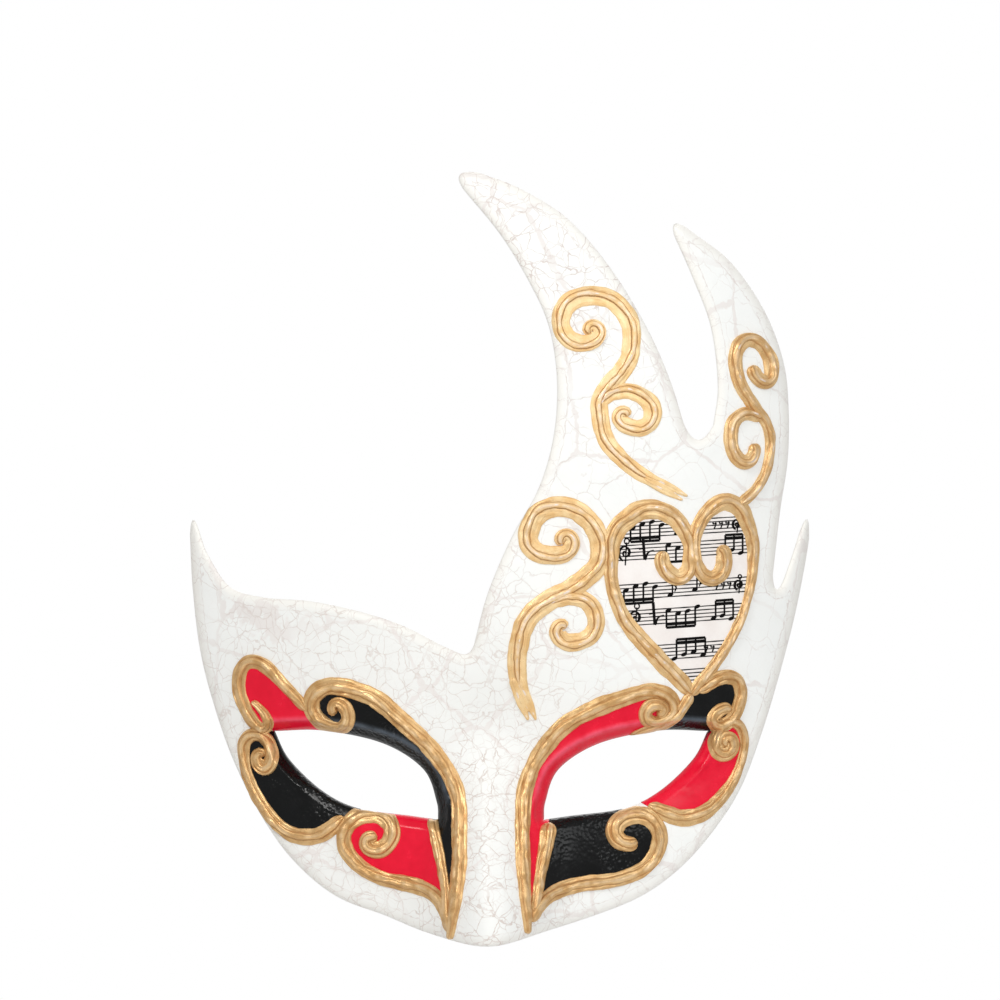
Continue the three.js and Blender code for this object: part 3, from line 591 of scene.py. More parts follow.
def add(tree, kind, inputs=None, **settings):
    """Adds one shader node. 'inputs' maps a socket's name or number to a value, to another
    node's output, or to a node whose first output is meant."""
    node = tree.nodes.new("ShaderNode" + kind)
    for key, value in settings.items():
        setattr(node, key, value)
    for key, value in (inputs or {}).items():
        if isinstance(value, bpy.types.Node):
            value = value.outputs[0]
        if isinstance(value, bpy.types.NodeSocket):
            tree.links.new(value, node.inputs[key])
        else:
            node.inputs[key].default_value = value
    return node


# Settings that many nodes share. A MapRange's sockets 0 to 4 are its value, the two ends that
# it comes from and the two that it goes to; a Mix's 6 and 7 are its colours.
TIMES = {"operation": "MULTIPLY"}
TIMES_PLUS = {"operation": "MULTIPLY_ADD"}
LARGER = {"operation": "MAXIMUM"}
LESS = {"operation": "SUBTRACT"}
SIZE = {"operation": "ABSOLUTE"}
SOFT = {"interpolation_type": "SMOOTHSTEP"}
COLOURS = {"data_type": "RGBA"}


def start_material(name):
    """An empty material with its shader, and the object's own coordinates in millimetres."""
    material = bpy.data.materials.new(name)
    material.use_nodes = True
    tree = material.node_tree
    coords = add(tree, "TexCoord").outputs["Object"]
    scaled = add(tree, "VectorMath", {0: coords, 1: (1 / MM, 1 / MM, 1 / MM)}, **TIMES)
    return material, tree, tree.nodes["Principled BSDF"], scaled.outputs[0]


def finish_material(tree, shader, colour, rough, height, strength, depth_mm):
    """Joins a material's colour, roughness (one value or a pattern) and relief to its
    shader."""
    tree.links.new(colour, shader.inputs["Base Color"])
    if isinstance(rough, float):
        shader.inputs["Roughness"].default_value = rough
    else:
        tree.links.new(rough, shader.inputs["Roughness"])
    relief = add(tree, "Bump", {"Strength": strength, "Distance": depth_mm * MM,
                 "Height": height})
    tree.links.new(relief.outputs[0], shader.inputs["Normal"])


def crackle_lacquer():
    """Crackle lacquer over gesso: satin off-white skin that shrank as it dried, so it is cut
    into cells 10 mm across by fine cracks that show the pinkish ground, and in places into
    ones of 4.6 and 2.7 mm. Wide faint veins cross it, and a rounded edge has its own cracks.
    A real crack is finer, and is drawn about 0.2 mm wide so that it shows."""
    material, tree, shader, mm = start_material("crackle_lacquer")
    fineness, boldness, edge, along = (
        add(tree, "Attribute", attribute_name=label).outputs["Fac"]
        for label in ("fineness", "boldness", "edge", "along"))
    # the cracks' own paths: a wide drift, a closer wander and a fine jaggedness
    moved = mm
    for frequency, amount in ((0.06, 5.0), (0.3, 1.9), (1.1, 0.5)):
        noise = add(tree, "TexNoise", {"Vector": mm, "Scale": frequency, "Detail": 1.0})
        centred = add(tree, "VectorMath", {0: noise.outputs["Color"], 1: (0.5, 0.5, 0.5)},
                      **LESS)
        moved = add(tree, "VectorMath", {0: centred, 1: (amount, amount, amount), 2: moved},
                    **TIMES_PLUS)
    patch = add(tree, "TexNoise", {"Vector": mm, "Scale": 0.055, "Detail": 2.0})
    fade = add(tree, "TexNoise", {"Vector": mm, "Scale": 0.35, "Detail": 2.0})
    # small cells where the coat was thick: over the nose and brow, up the tall flame and in
    # scattered patches
    where = add(tree, "Math", {0: fineness, 1: 0.42, 2: patch}, **TIMES_PLUS)
    where = add(tree, "Math", {0: boldness, 1: 0.6, 2: where}, **TIMES_PLUS)
    small = add(tree, "MapRange", {0: where, 1: 0.84, 2: 1.0, 3: 0.12, 4: 1.0}, **SOFT)
    finest = add(tree, "MapRange", {0: where, 1: 1.2, 2: 1.34, 3: 0.0, 4: 0.5}, **SOFT)
    # cracks between cells of three sizes, in mm, each with half its crack's width
    crack = None
    for cell, half_width, share in ((10.5, 0.13, 1.0), (4.6, 0.11, small), (2.7, 0.08, finest)):
        cells = add(tree, "TexVoronoi", {"Vector": moved, "Scale": 1 / cell},
                    feature="DISTANCE_TO_EDGE")
        line = add(tree, "MapRange", {0: cells, 1: 0.5 * half_width / cell,
                   2: 1.3 * half_width / cell, 3: 1.0, 4: 0.0}, **SOFT)
        line = add(tree, "Math", {0: line, 1: share}, **TIMES)
        crack = add(tree, "Math", {0: crack, 1: line}, **LARGER) if crack else line
    faded = add(tree, "MapRange", {0: fade, 1: 0.38, 2: 0.6, 3: 0.4, 4: 1.0}, **SOFT)
    faded = add(tree, "Math", {0: faded, 1: boldness}, **TIMES)
    crack = add(tree, "Math", {0: crack, 1: faded}, **TIMES)
    # at the rounded edge: a ragged crack where the shoulder starts and short ones across it
    ragged = add(tree, "TexNoise", {"Vector": mm, "Scale": 0.5, "Detail": 3.0})
    ring = add(tree, "Math", {0: ragged, 1: 1.6, 2: edge}, **TIMES_PLUS)
    ring = add(tree, "Math", {0: ring, 1: SHOULDER + 0.5, 2: 0.15}, operation="COMPARE")
    strength = add(tree, "MapRange", {0: fade, 1: 0.4, 2: 0.6, 3: 0.15, 4: 0.6}, **SOFT)
    ring = add(tree, "Math", {0: ring, 1: strength}, **TIMES)
    teeth = add(tree, "Math", {0: ragged, 1: 9.0, 2: along}, **TIMES_PLUS)
    teeth = add(tree, "Math", {0: teeth, 1: 4.4}, operation="PINGPONG")
    teeth = add(tree, "Math", {0: teeth, 1: 0.12}, operation="LESS_THAN")
    strength = add(tree, "MapRange", {0: edge, 1: SHOULDER - 0.4, 2: SHOULDER + 0.2, 3: 0.4,
                   4: 0.0}, **SOFT)
    teeth = add(tree, "Math", {0: teeth, 1: strength}, **TIMES)
    for more in (ring, teeth):
        crack = add(tree, "Math", {0: crack, 1: more}, **LARGER)
    # wide faint veins where the ground shows through thin lacquer, with ragged banks
    veins = add(tree, "TexVoronoi", {"Vector": moved, "Scale": 1 / 30.0},
                feature="DISTANCE_TO_EDGE")
    bank = add(tree, "Math", {0: fade, 1: 0.05, 2: veins}, **TIMES_PLUS)
    bank = add(tree, "MapRange", {0: bank, 1: 0.036, 2: 0.05, 3: 0.75, 4: 0.0}, **SOFT)
    thin = add(tree, "MapRange", {0: patch, 1: 0.36, 2: 0.55, 3: 0.25, 4: 1.0}, **SOFT)
    vein = add(tree, "Math", {0: bank, 1: thin}, **TIMES)
    cloud = add(tree, "TexNoise", {"Vector": mm, "Scale": 0.04, "Detail": 3.0})
    # a warmer, darker tint towards the rounded edge: painted shade where the edge turns away
    edge_shade_and_pebble_patches = add(tree, "MapRange", {0: edge, 1: 0.5, 2: SHOULDER + 0.8, 3: 0.45, 4: 0.0}, **SOFT)
    dense = add(tree, "Math", {0: fineness, 1: 0.35}, **TIMES)
    ground = add(tree, "Mix", {0: cloud, 6: linear("#f4f6f4"), 7: linear("#f9f9f6")},
                 **COLOURS).outputs[2]
    for share, tint in ((edge_shade_and_pebble_patches, "#f1ebe1"), (dense, "#e9e8e3"), (vein, "#e9e3df")):
        ground = add(tree, "Mix", {0: share, 6: ground, 7: linear(tint)}, **COLOURS).outputs[2]
    line = add(tree, "Mix", {0: fineness, 6: linear("#d6cac4"), 7: linear("#d0c2ba")},
               **COLOURS).outputs[2]
    colour = add(tree, "Mix", {0: crack, 6: ground, 7: line}, **COLOURS).outputs[2]
    rough = add(tree, "MapRange", {0: crack, 1: 0.0, 2: 1.0, 3: 0.42, 4: 0.8}, **SOFT)
    grain = add(tree, "TexNoise", {"Vector": mm, "Scale": 0.6, "Detail": 4.0})
    height = add(tree, "Math", {0: crack, 1: -1.4, 2: grain}, **TIMES_PLUS)
    finish_material(tree, shader, colour, rough.outputs[0], height, 0.3, 0.1)
    shader.inputs["Specular IOR Level"].default_value = 0.35
    return material


def bare_papier_mache():
    """The unlacquered inside: torn strips of unsized paper in paste, with their overlaps and
    fibres, dull and slightly grey. A strip is about 17 mm wide and 40 to 52 mm long. Fibres
    are drawn 0.7 mm apart, coarser than real ones, so that they show."""
    material, tree, shader, mm = start_material("bare_papier_mache")
    bend = add(tree, "TexNoise", {"Vector": mm, "Scale": 0.16, "Detail": 5.0})
    moved = add(tree, "VectorMath", {0: bend.outputs["Color"], 1: (7.0, 7.0, 7.0), 2: mm},
                **TIMES_PLUS)
    laid = add(tree, "Mapping", {"Vector": moved, "Rotation": (0.0, 0.6, 0.0),
               "Scale": (1 / 17, 1 / 40, 1 / 52)})
    strips = add(tree, "TexVoronoi", {"Vector": laid, "Scale": 1.0})
    seams = add(tree, "TexVoronoi", {"Vector": laid, "Scale": 1.0}, feature="DISTANCE_TO_EDGE")
    fibre = add(tree, "TexNoise", {"Vector": mm, "Scale": 1.4, "Detail": 6.0, "Roughness": 0.7})
    tone = add(tree, "SeparateColor", {0: strips.outputs["Color"]})
    ground = add(tree, "Mix", {0: tone, 6: linear("#e6e0d3"), 7: linear("#eeeadf")},
                 **COLOURS).outputs[2]
    seam = add(tree, "MapRange", {0: seams, 1: 0.0, 2: 0.03, 3: 0.2, 4: 0.0})
    ground = add(tree, "Mix", {0: seam, 6: ground, 7: linear("#c9c0ae")}, **COLOURS).outputs[2]
    height = add(tree, "Math", {0: tone, 1: 2.2, 2: fibre}, **TIMES_PLUS)
    finish_material(tree, shader, ground, 0.92, height, 0.7, 0.22)
    return material


def glossy_paint(name, dark, light, painted_highlight, pebble_mm, pebble_depth):
    """Acrylic paint under varnish: a deep even colour with faint brush marks 4.5 mm apart,
    and a paler painted highlight where it stands up along the crease of a lid. Pebble size
    and depth, in mm, give the leathery skin of thick paint that wrinkled as it dried."""
    material, tree, shader, mm = start_material(name)
    brush = add(tree, "TexNoise", {"Vector": mm, "Scale": 0.22, "Detail": 4.0})
    streak = add(tree, "MapRange", {0: brush, 1: 0.3, 2: 0.7})
    colour = add(tree, "Mix", {0: streak, 6: linear(dark), 7: linear(light)},
                 **COLOURS).outputs[2]
    # the crease attribute marks a lid's crease, where the colour is mixed towards a painted
    # highlight
    crease = add(tree, "Attribute", attribute_name="crease").outputs["Fac"]
    share = add(tree, "Math", {0: crease, 1: streak}, **TIMES)
    share = add(tree, "Math", {0: crease, 1: 0.4, 2: share}, use_clamp=True, **TIMES_PLUS)
    colour = add(tree, "Mix", {0: share, 6: colour, 7: linear(painted_highlight)}, **COLOURS).outputs[2]
    rough = add(tree, "MapRange", {0: brush, 1: 0.3, 2: 0.7, 3: 0.18, 4: 0.3})
    pebbles = add(tree, "TexVoronoi", {"Vector": mm, "Scale": 1 / pebble_mm},
                  feature="SMOOTH_F1")
    edge_shade_and_pebble_patches = add(tree, "TexNoise", {"Vector": mm, "Scale": 0.09, "Detail": 1.0})
    where = add(tree, "MapRange", {0: edge_shade_and_pebble_patches, 1: 0.42, 2: 0.6, 3: 0.2, 4: 1.0})
    height = add(tree, "Math", {0: pebbles, 1: where}, **TIMES)
    finish_material(tree, shader, colour, rough.outputs[0], height, 1.0, pebble_depth)
    shader.inputs["Specular IOR Level"].default_value = 0.26
    return material


def gilding_paste():
    """Gold acrylic over raised paste: mica flakes in a warm binder, so a soft metal sheen
    rather than a mirror. It is pale where it was brushed thin on the crest and deeper round
    the eyes. On top of a bead it is a pinkish painted highlight, partly the paste worn
    through, with dabs of painted highlight; at the bead's feet it is brown, partly patina
    and partly painted shade. The piece's own map gives millimetres along the stroke and
    away from the bead's middle. Real flakes are far finer, and are drawn 0.3 mm across so
    that they show."""
    material, tree, shader, mm = start_material("gilding_paste")
    stroke = add(tree, "UVMap", uv_map="stroke")
    across = add(tree, "SeparateXYZ", {0: stroke}).outputs[1]
    pale = add(tree, "Attribute", attribute_name="pale").outputs["Fac"]
    bead = add(tree, "Attribute", attribute_name="bead").outputs["Fac"]
    away = add(tree, "Math", {0: across}, **SIZE)
    drift = add(tree, "TexNoise", {"Vector": mm, "Scale": 0.3, "Detail": 2.0})
    grain = add(tree, "TexNoise", {"Vector": mm, "Scale": 3.0, "Detail": 3.0, "Roughness": 0.6})
    # three patterns drawn out along the stroke: streaks of the brush, soft ridges where the
    # paste dragged, and dabs of painted highlight on the bead
    patterns = []
    for lengthwise, crosswise, detail in ((0.1, 2.2, 2.0), (0.06, 0.65, 1.0), (0.3, 0.4, 1.0)):
        drawn = add(tree, "VectorMath", {0: stroke, 1: (lengthwise, crosswise, 0.0)}, **TIMES)
        patterns.append(add(tree, "TexNoise", {"Vector": drawn, "Scale": 1.0,
                        "Detail": detail}))
    marks, ridges, beat = patterns
    shade = add(tree, "MapRange", {0: drift, 1: 0.3, 2: 0.7}, **SOFT)
    deep = add(tree, "Mix", {0: shade, 6: linear("#c99a60"), 7: linear("#e3bb82")},
               **COLOURS).outputs[2]
    light = add(tree, "Mix", {0: shade, 6: linear("#f3c98a"), 7: linear("#fde0ac")},
                **COLOURS).outputs[2]
    ground = add(tree, "Mix", {0: pale, 6: deep, 7: light}, **COLOURS).outputs[2]
    speck = add(tree, "Mix", {0: pale, 6: linear("#9a6e3a"), 7: linear("#d59f5c")},
                **COLOURS).outputs[2]
    specks = add(tree, "MapRange", {0: grain, 1: 0.3, 2: 0.48, 3: 0.16, 4: 0.0}, **SOFT)
    streaks = add(tree, "MapRange", {0: marks, 1: 0.52, 2: 0.72, 3: 0.0, 4: 0.28}, **SOFT)
    # the crown of the bead: a painted highlight, partly paste worn through, and dabs of painted
    # highlight
    crown = add(tree, "Math", {0: marks, 1: away}, **TIMES)
    crown = add(tree, "MapRange", {0: crown, 1: 0.06, 2: 0.3, 3: 0.7, 4: 0.0}, **SOFT)
    crown = add(tree, "Math", {0: crown, 1: add(tree, "Math", {0: bead, 1: shade}, **TIMES)},
                **TIMES)
    painted_highlight = add(tree, "Mix", {0: pale, 6: linear("#ecc997"), 7: linear("#f6e0d3")},
                 **COLOURS).outputs[2]
    on_top = add(tree, "MapRange", {0: away, 1: 0.12, 2: 0.34, 3: 1.0, 4: 0.0}, **SOFT)
    dabs = add(tree, "MapRange", {0: beat, 1: 0.55, 2: 0.66, 3: 0.0, 4: 0.9}, **SOFT)
    crest = add(tree, "MapRange", {0: pale, 1: 0.2, 2: 0.4, 3: 0.0, 4: 1.0}, **SOFT)
    for share in (on_top, crest):
        dabs = add(tree, "Math", {0: dabs, 1: share}, **TIMES)
    # the lines at its two feet, which wander a little: brown, partly patina and partly painted
    # shade in the crease at the bead's foot
    foot = add(tree, "Math", {0: drift, 1: 0.7, 2: away}, **TIMES_PLUS)
    foot = add(tree, "Math", {0: foot, 1: add(tree, "Math", {0: bead, 1: 1.35}, **TIMES)},
               **LESS)
    foot = add(tree, "Math", {0: foot}, **SIZE)
    foot = add(tree, "MapRange", {0: foot, 1: 0.06, 2: 0.26, 3: 1.0, 4: 0.0}, **SOFT)
    for value, start, end, least, most in ((bead, 0.3, 0.6, 0.0, 1.0),
                                           (pale, 0.0, 1.0, 0.45, 1.0),
                                           (grain, 0.3, 0.6, 0.35, 0.85)):
        share = add(tree, "MapRange", {0: value, 1: start, 2: end, 3: least, 4: most}, **SOFT)
        foot = add(tree, "Math", {0: foot, 1: share}, **TIMES)
    for share, tint in ((specks, speck), (streaks, linear("#a87743")), (crown, painted_highlight),
                        (dabs, linear("#f8e9e0")), (foot, linear("#a5672f"))):
        ground = add(tree, "Mix", {0: share, 6: ground, 7: tint}, **COLOURS).outputs[2]
    metal = add(tree, "MapRange", {0: pale, 1: 0.0, 2: 1.0, 3: 0.5, 4: 0.25}, **SOFT)
    tree.links.new(metal.outputs[0], shader.inputs["Metallic"])
    rough = add(tree, "MapRange", {0: grain, 1: 0.3, 2: 0.7, 3: 0.27, 4: 0.42}, **SOFT)
    depth = add(tree, "MapRange", {0: pale, 1: 0.2, 2: 0.9, 3: 6.0, 4: 1.5}, **SOFT)
    height = add(tree, "Math", {0: grain, 1: 0.35}, **TIMES)
    height = add(tree, "Math", {0: ridges, 1: depth, 2: height}, **TIMES_PLUS)
    height = add(tree, "Math", {0: marks, 1: 0.4, 2: height}, **TIMES_PLUS)
    finish_material(tree, shader, ground, rough.outputs[0], height, 0.8, 0.18)
    return material


def music_paper():
    """Old rag paper pasted down and varnished: warm white, a slight cockle 8 mm long, and
    faint fibres, drawn 0.9 mm apart so that they show."""
    material, tree, shader, mm = start_material("music_paper")
    fibre = add(tree, "TexNoise", {"Vector": mm, "Scale": 1.1, "Detail": 5.0, "Roughness": 0.7})
    cockle = add(tree, "TexNoise", {"Vector": mm, "Scale": 0.12, "Detail": 1.0})
    mixed = add(tree, "Math", {0: fibre, 1: 0.5, 2: cockle}, **TIMES_PLUS)
    tone = add(tree, "MapRange", {0: mixed, 1: 0.5, 2: 1.0})
    colour = add(tree, "Mix", {0: tone, 6: linear("#f1e9e4"), 7: linear("#f9f4f0")},
                 **COLOURS).outputs[2]
    finish_material(tree, shader, colour, 0.5, mixed, 0.3, 0.15)
    return material


def printing_ink():
    """Letterpress ink: near black, matt, uneven in strength from one half mm to the next."""
    material, tree, shader, mm = start_material("printing_ink")
    press = add(tree, "TexNoise", {"Vector": mm, "Scale": 2.0, "Detail": 3.0})
    tone = add(tree, "MapRange", {0: press, 1: 0.35, 2: 0.75})
    colour = add(tree, "Mix", {0: tone, 6: linear("#020202"), 7: linear("#0b0908")}, **COLOURS)
    tree.links.new(colour.outputs[2], shader.inputs["Base Color"])
    shader.inputs["Roughness"].default_value = 0.7
    shader.inputs["Specular IOR Level"].default_value = 0.12
    return material


def glued_card():
    """Grey-buff card cut by hand: pressed pulp with short fibres about 1 mm long, dull."""
    material, tree, shader, mm = start_material("glued_card")
    fibre = add(tree, "TexNoise", {"Vector": mm, "Scale": 0.9, "Detail": 6.0,
                "Roughness": 0.75})
    tone = add(tree, "MapRange", {0: fibre, 1: 0.35, 2: 0.65})
    colour = add(tree, "Mix", {0: tone, 6: linear("#c9bda2"), 7: linear("#ded4bd")},
                 **COLOURS).outputs[2]
    finish_material(tree, shader, colour, 0.88, fibre, 0.6, 0.12)
    return material


def pale_floor():
    """Matt studio board, almost white, thinning out to nothing away from the mask so that
    its rim never shows."""
    material, tree, shader, mm = start_material("pale_floor")
    shader.inputs["Base Color"].default_value = linear("#f4f4f4")
    shader.inputs["Roughness"].default_value = 0.9
    away = add(tree, "VectorMath", {0: mm}, operation="LENGTH").outputs["Value"]
    gone = add(tree, "MapRange", {0: away, 1: 420.0, 2: 1100.0}, **SOFT)
    mixed = add(tree, "MixShader", {0: gone, 1: shader, 2: add(tree, "BsdfTransparent")})
    tree.links.new(mixed.outputs[0], tree.nodes["Material Output"].inputs["Surface"])
    return material


lacquer = crackle_lacquer()
inside_paper = bare_papier_mache()
gilt = gilding_paste()
# the third colour of each paint is its painted highlight along a lid's crease
red_paint = glossy_paint("red_varnished_paint", "#e00d2e", "#ee1436", "#f4566e", 2.6, 0.04)
black_paint = glossy_paint("black_varnished_paint", "#020303", "#050607", "#4c535b", 1.0, 0.3)
paper = music_paper()
ink = printing_ink()
card = glued_card()


# ---------- the shell ----------
def make_shell():
    """Two skins over one plan that share their points along every edge, so that the shell is
    closed there by its own rounding. The crackle is small over the nose and the left brow, and
    its cracks are boldest there and on the tall flame."""
    count = len(plan)
    x, z = plan.T
    on_border = np.zeros(count, bool)
    on_border[np.unique(border(triangles))] = True
    behind = np.arange(count) + count
    behind[on_border] = np.flatnonzero(on_border)
    faces = np.vstack([triangles, behind[triangles][:, ::-1]])
    finish = np.repeat([0, 1], len(triangles))
    rounded = plan_outer[triangles].min(1) < BACK_ROUND * 0.5
    finish[len(triangles):][rounded] = 0
    fineness = smooth(0.25, 0.65, np.exp(-((x + 26) / 72) ** 2 - ((z - 5) / 60) ** 2))
    tall_flame = smooth(95, 150, z) * (1 - smooth(38, 62, x))
    nose = bump(x, 20) * (1 - smooth(-5, 30, z))
    boldness = 0.56 + 0.32 * tall_flame + 0.28 * nose - 0.25 * smooth(35, 75, x)
    pattern = {"edge": plan_outer, "along": plan_run, "fineness": fineness,
               "boldness": boldness}
    piece = make_piece("lacquered_shell", np.vstack([front, back]), faces.tolist(),
                       [lacquer, inside_paper], finish,
                       {label: np.tile(values, 2) for label, values in pattern.items()})
    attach(piece, "root")
    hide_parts("shell")


def make_film(name, node, loop, thickness, finish):
    """A thin skin that lies on the shell inside a loop: the shell's own triangles there,
    moved off along its normals, closed by a strip round the border and a back inside the
    shell's lacquer."""
    chosen = triangles[inside(loop, plan[triangles].mean(1))]
    numbers = np.unique(chosen)
    local = np.zeros(len(plan), int)
    local[numbers] = np.arange(len(numbers))
    faces = local[chosen]
    top = front[numbers] + front_normals[numbers] * thickness
    bottom = front[numbers] - front_normals[numbers] * FILM_ROOT
    count = len(numbers)
    rim = border(faces)
    strip = np.vstack([np.column_stack([rim[:, 1], rim[:, 0], rim[:, 0] + count]),
                       np.column_stack([rim[:, 1], rim[:, 0] + count, rim[:, 1] + count])])
    every = np.vstack([faces, faces[:, ::-1] + count, strip])
    # where a paint film gets its painted highlight: along the crease over the top of an eye
    crease = smooth(1, 8, over_eye(*plan.T)) * bump(plan_eye - RIM_WIDTH - 0.1, 0.7)
    piece = make_piece(name, np.vstack([top, bottom]), every.tolist(), [finish],
                       attributes={"crease": np.tile(crease[numbers], 2)})
    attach(piece, "root")
    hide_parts(node)


front_normals = point_normals(front, triangles)
make_shell()
make_film("pasted_heart", "music_heart", paper_edge(), PAPER, paper)
for panel, points in PANELS.items():
    hue = panel.split("_")[0]
    finish = red_paint if hue == "red" else black_paint
    make_film("paint_" + panel, panel, np.array(points, float), PAINT, finish)


# ---------- gilt strokes ----------
def kept_off_holes(x, z, margin):
    """Points of a stroke that would hang over an eye hole are drawn back to its edge."""
    points = np.column_stack([x.ravel(), z.ravel()])
    for loop in eye_loops:
        gap, px, pz, _ = nearest(loop, points)
        place = np.column_stack([px, pz])
        hanging = inside(loop, points)
        away = (place - points) / np.maximum(gap, 1e-6)[:, None]
        points = np.where(hanging[:, None], place + away * margin, points)
        close = ~hanging & (gap < margin)
        points = np.where(close[:, None], place - away * margin, points)
    return points[:, 0].reshape(x.shape), points[:, 1].reshape(x.shape)


def lay_on_face(x, z, lift):
    """Points in the plan, raised off the finished face by the given height."""
    outer, _, to_eye = edges(x, z)
    depth = front_depth(x, z, outer.reshape(x.shape), to_eye.reshape(x.shape))
    place = np.stack([x, depth, z], -1)
    return place + outward(x, z) * lift[..., None]


def along_run(run, values):
    """Values at even steps along a stroke, joined smoothly."""
    places = np.linspace(0, run[-1], len(values))
    between = np.interp(run, places, values)
    kernel = np.hanning(15)
    return np.convolve(np.pad(between, 7, mode="edge"), kernel / kernel.sum(), mode="valid")


def make_stroke(pale, bead_half, lean, widths, points, seed, flat_end):
    """A flat painted band with a piped bead on it, as a profile carried along a curve in the
    plan: the bead is half round and leans towards the outside of each bend, with a thinner
    ridge of spilt paste beside it. Widths and heights waver along the stroke."""
    line = curve(points, STROKE_STEP)
    step = np.gradient(line, axis=0)
    run = np.append(0, np.cumsum(np.linalg.norm(np.diff(line, axis=0), axis=1)))
    heading = np.unwrap(np.arctan2(step[:, 1], step[:, 0]))
    bend = np.convolve(np.pad(np.gradient(heading, run), 3, mode="edge"), np.ones(7) / 7,
                       mode="valid")
    side = np.column_stack([-np.sin(heading), np.cos(heading)])
    left = run[-1] - run
    # both ends are rounded, the far one longer
    half = 0.5 * along_run(run, widths)
    round_off = np.sqrt(np.clip(1 - (1 - np.clip(run / half[0], 0, 1)) ** 2, 0, 1))
    round_end = np.sqrt(np.clip(1 - (1 - np.clip(left / (1.5 * half[-1]), 0, 1)) ** 2, 0, 1))
    half = half * round_off * round_end
    # the band's two sides waver, and stop short of the middle of a tight bend
    sides = []
    for sign in (-1, 1):
        wavering = half * (1 + 0.07 * waves(run, 19, seed + sign) + 0.025 * waves(run, 5, seed))
        turning_in = np.maximum(sign * bend, 1e-6)
        sides.append(np.minimum(wavering, 0.88 / turning_in))
    room = sides[0] + sides[1]
    # the bead thins out before brush tails and stays on the band as it leans and wanders
    fading = smooth(2, 17, left) if flat_end else 0.7 + 0.3 * smooth(0, 5, left)
    bead = bead_half * fading * (1 + 0.12 * waves(run, 9, seed + 4))
    bead = np.minimum(bead * round_off * round_end, 0.36 * room)
    leaning = -lean * room * np.clip(bend * 6, -1, 1) + 0.06 * room * waves(run, 23, seed + 8)
    leaning = np.convolve(np.pad(leaning, 6, mode="edge"), np.ones(13) / 13, mode="valid")
    middle = np.clip(leaning, bead * 1.12 - sides[0], sides[1] - bead * 1.12)
    # the profile: from the band's one side to the bead's foot, round the bead, and out again
    rise = BEAD_RISE * bead * (1 + 0.12 * waves(run, 6, seed + 5))
    ride_up = 0.25 * (1 - smooth(3, 15, run))
    across_bead = np.sin(np.linspace(-np.pi / 2, np.pi / 2, 15))
    flat = np.array([1.0, 0.985, 0.94, 0.86, 0.74, 0.6, 0.45, 0.3, 0.15])
    low_foot, high_foot = middle - bead, middle + bead
    offset = np.hstack([low_foot[:, None] - (low_foot + sides[0])[:, None] * flat,
                        middle[:, None] + bead[:, None] * across_bead,
                        high_foot[:, None] + (sides[1] - high_foot)[:, None] * flat[::-1]])
    # heights: the band's soft edges, the bead with its groove, and the ridge of spilt paste
    limit = np.where(offset < 0, sides[0][:, None], sides[1][:, None])
    into_side = np.clip(np.abs(offset) / np.maximum(limit, 1e-6), 0, 1)
    thick = BAND_LIFT * (1.9 - 0.9 * pale)
    band = (thick + 0.05) * np.sqrt(np.clip(1 - into_side ** (4 + 6 * pale), 0, 1)) - 0.05
    from_bead = offset - middle[:, None]
    dome = np.sqrt(np.clip(1 - (from_bead / np.maximum(bead, 1e-6)[:, None]) ** 2, 0, 1))
    place = from_bead / bead.clip(0.05)[:, None]
    groove = 0.2 * bump(place - 0.45 * waves(run, 13, seed + 6)[:, None], 0.2)
    spill = 0.5 * (0.45 + 0.6 * waves(run, 15, seed + 7)).clip(0) * bead / bead_half
    shift = 1.6 + 0.25 * waves(run, 12, seed + 9)
    beside = spill[:, None] * bump(place - np.sign(waves(0.0, 9, seed)) * shift[:, None], 0.35)
    height = band + rise[:, None] * (dome - groove * dome) + beside * (into_side < 0.95)
    # a curl's inner end rides up, and strokes that cross differ a little in height
    height = height + (ride_up * round_off)[:, None] + 0.03 * (seed % 5)
    x = line[:, :1] + side[:, :1] * offset
    z = line[:, 1:] + side[:, 1:] * offset
    x, z = kept_off_holes(x, z, 0.12)
    top = lay_on_face(x, z, height)
    under = lay_on_face(x[:, [0, -1]], z[:, [0, -1]], np.full((len(run), 2), -UNDERSIDE))
    rows = np.concatenate([under[:, :1], top, under[:, 1:]], axis=1)
    uv = np.stack([np.broadcast_to(run[:, None], offset.shape), from_bead], -1)
    uv = np.concatenate([uv[:, :1], uv, uv[:, -1:]], axis=1).reshape(-1, 2)
    return *closed_run(rows), uv, np.repeat(bead, rows.shape[1])


def brush_tails(line, width, count):
    """Short narrow strokes that fan out of a stroke's far end, left by the brush."""
    back_along = line[-1] - line[-9]
    heading = back_along / np.linalg.norm(back_along)
    side = np.array([-heading[1], heading[0]])
    tails = []
    for i in range(count):
        spread = (i - 0.5 * (count - 1)) * width * 0.42
        start = line[-1] - heading * 11 + side * spread * 0.7
        middle = line[-1] - heading * 4 + side * spread * 0.9
        tip = line[-1] + heading * (2.4 + 0.8 * i) + side * spread * 0.9
        tails.append([start, middle, tip])
    return tails


def make_scroll(order, name, pale, bead_half, lean, widths, points, tails):
    """One gilt piece with its brush tails, in a single mesh."""
    seed = 20 + 11 * order
    parts = [make_stroke(pale, bead_half, lean, widths, points, seed, tails > 0)]
    line = curve(points, STROKE_STEP)
    tail_widths = 0.46 * widths[-2] * np.array([1, 1, 1, 0.25])
    for i, tail in enumerate(brush_tails(line, widths[-2], tails)):
        parts.append(make_stroke(pale, 0.3, 0.0, tail_widths, tail, seed + 400 + i, True))
    bead = np.concatenate([part[3] for part in parts])
    scroll = make_piece("raised_" + name, *gathered(parts), [gilt], several=True,
                        attributes={"bead": bead, "pale": np.full(len(bead), pale)},
                        uv=np.vstack([part[2] for part in parts]))
    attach(scroll, "root")
    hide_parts("gilt_" + name)


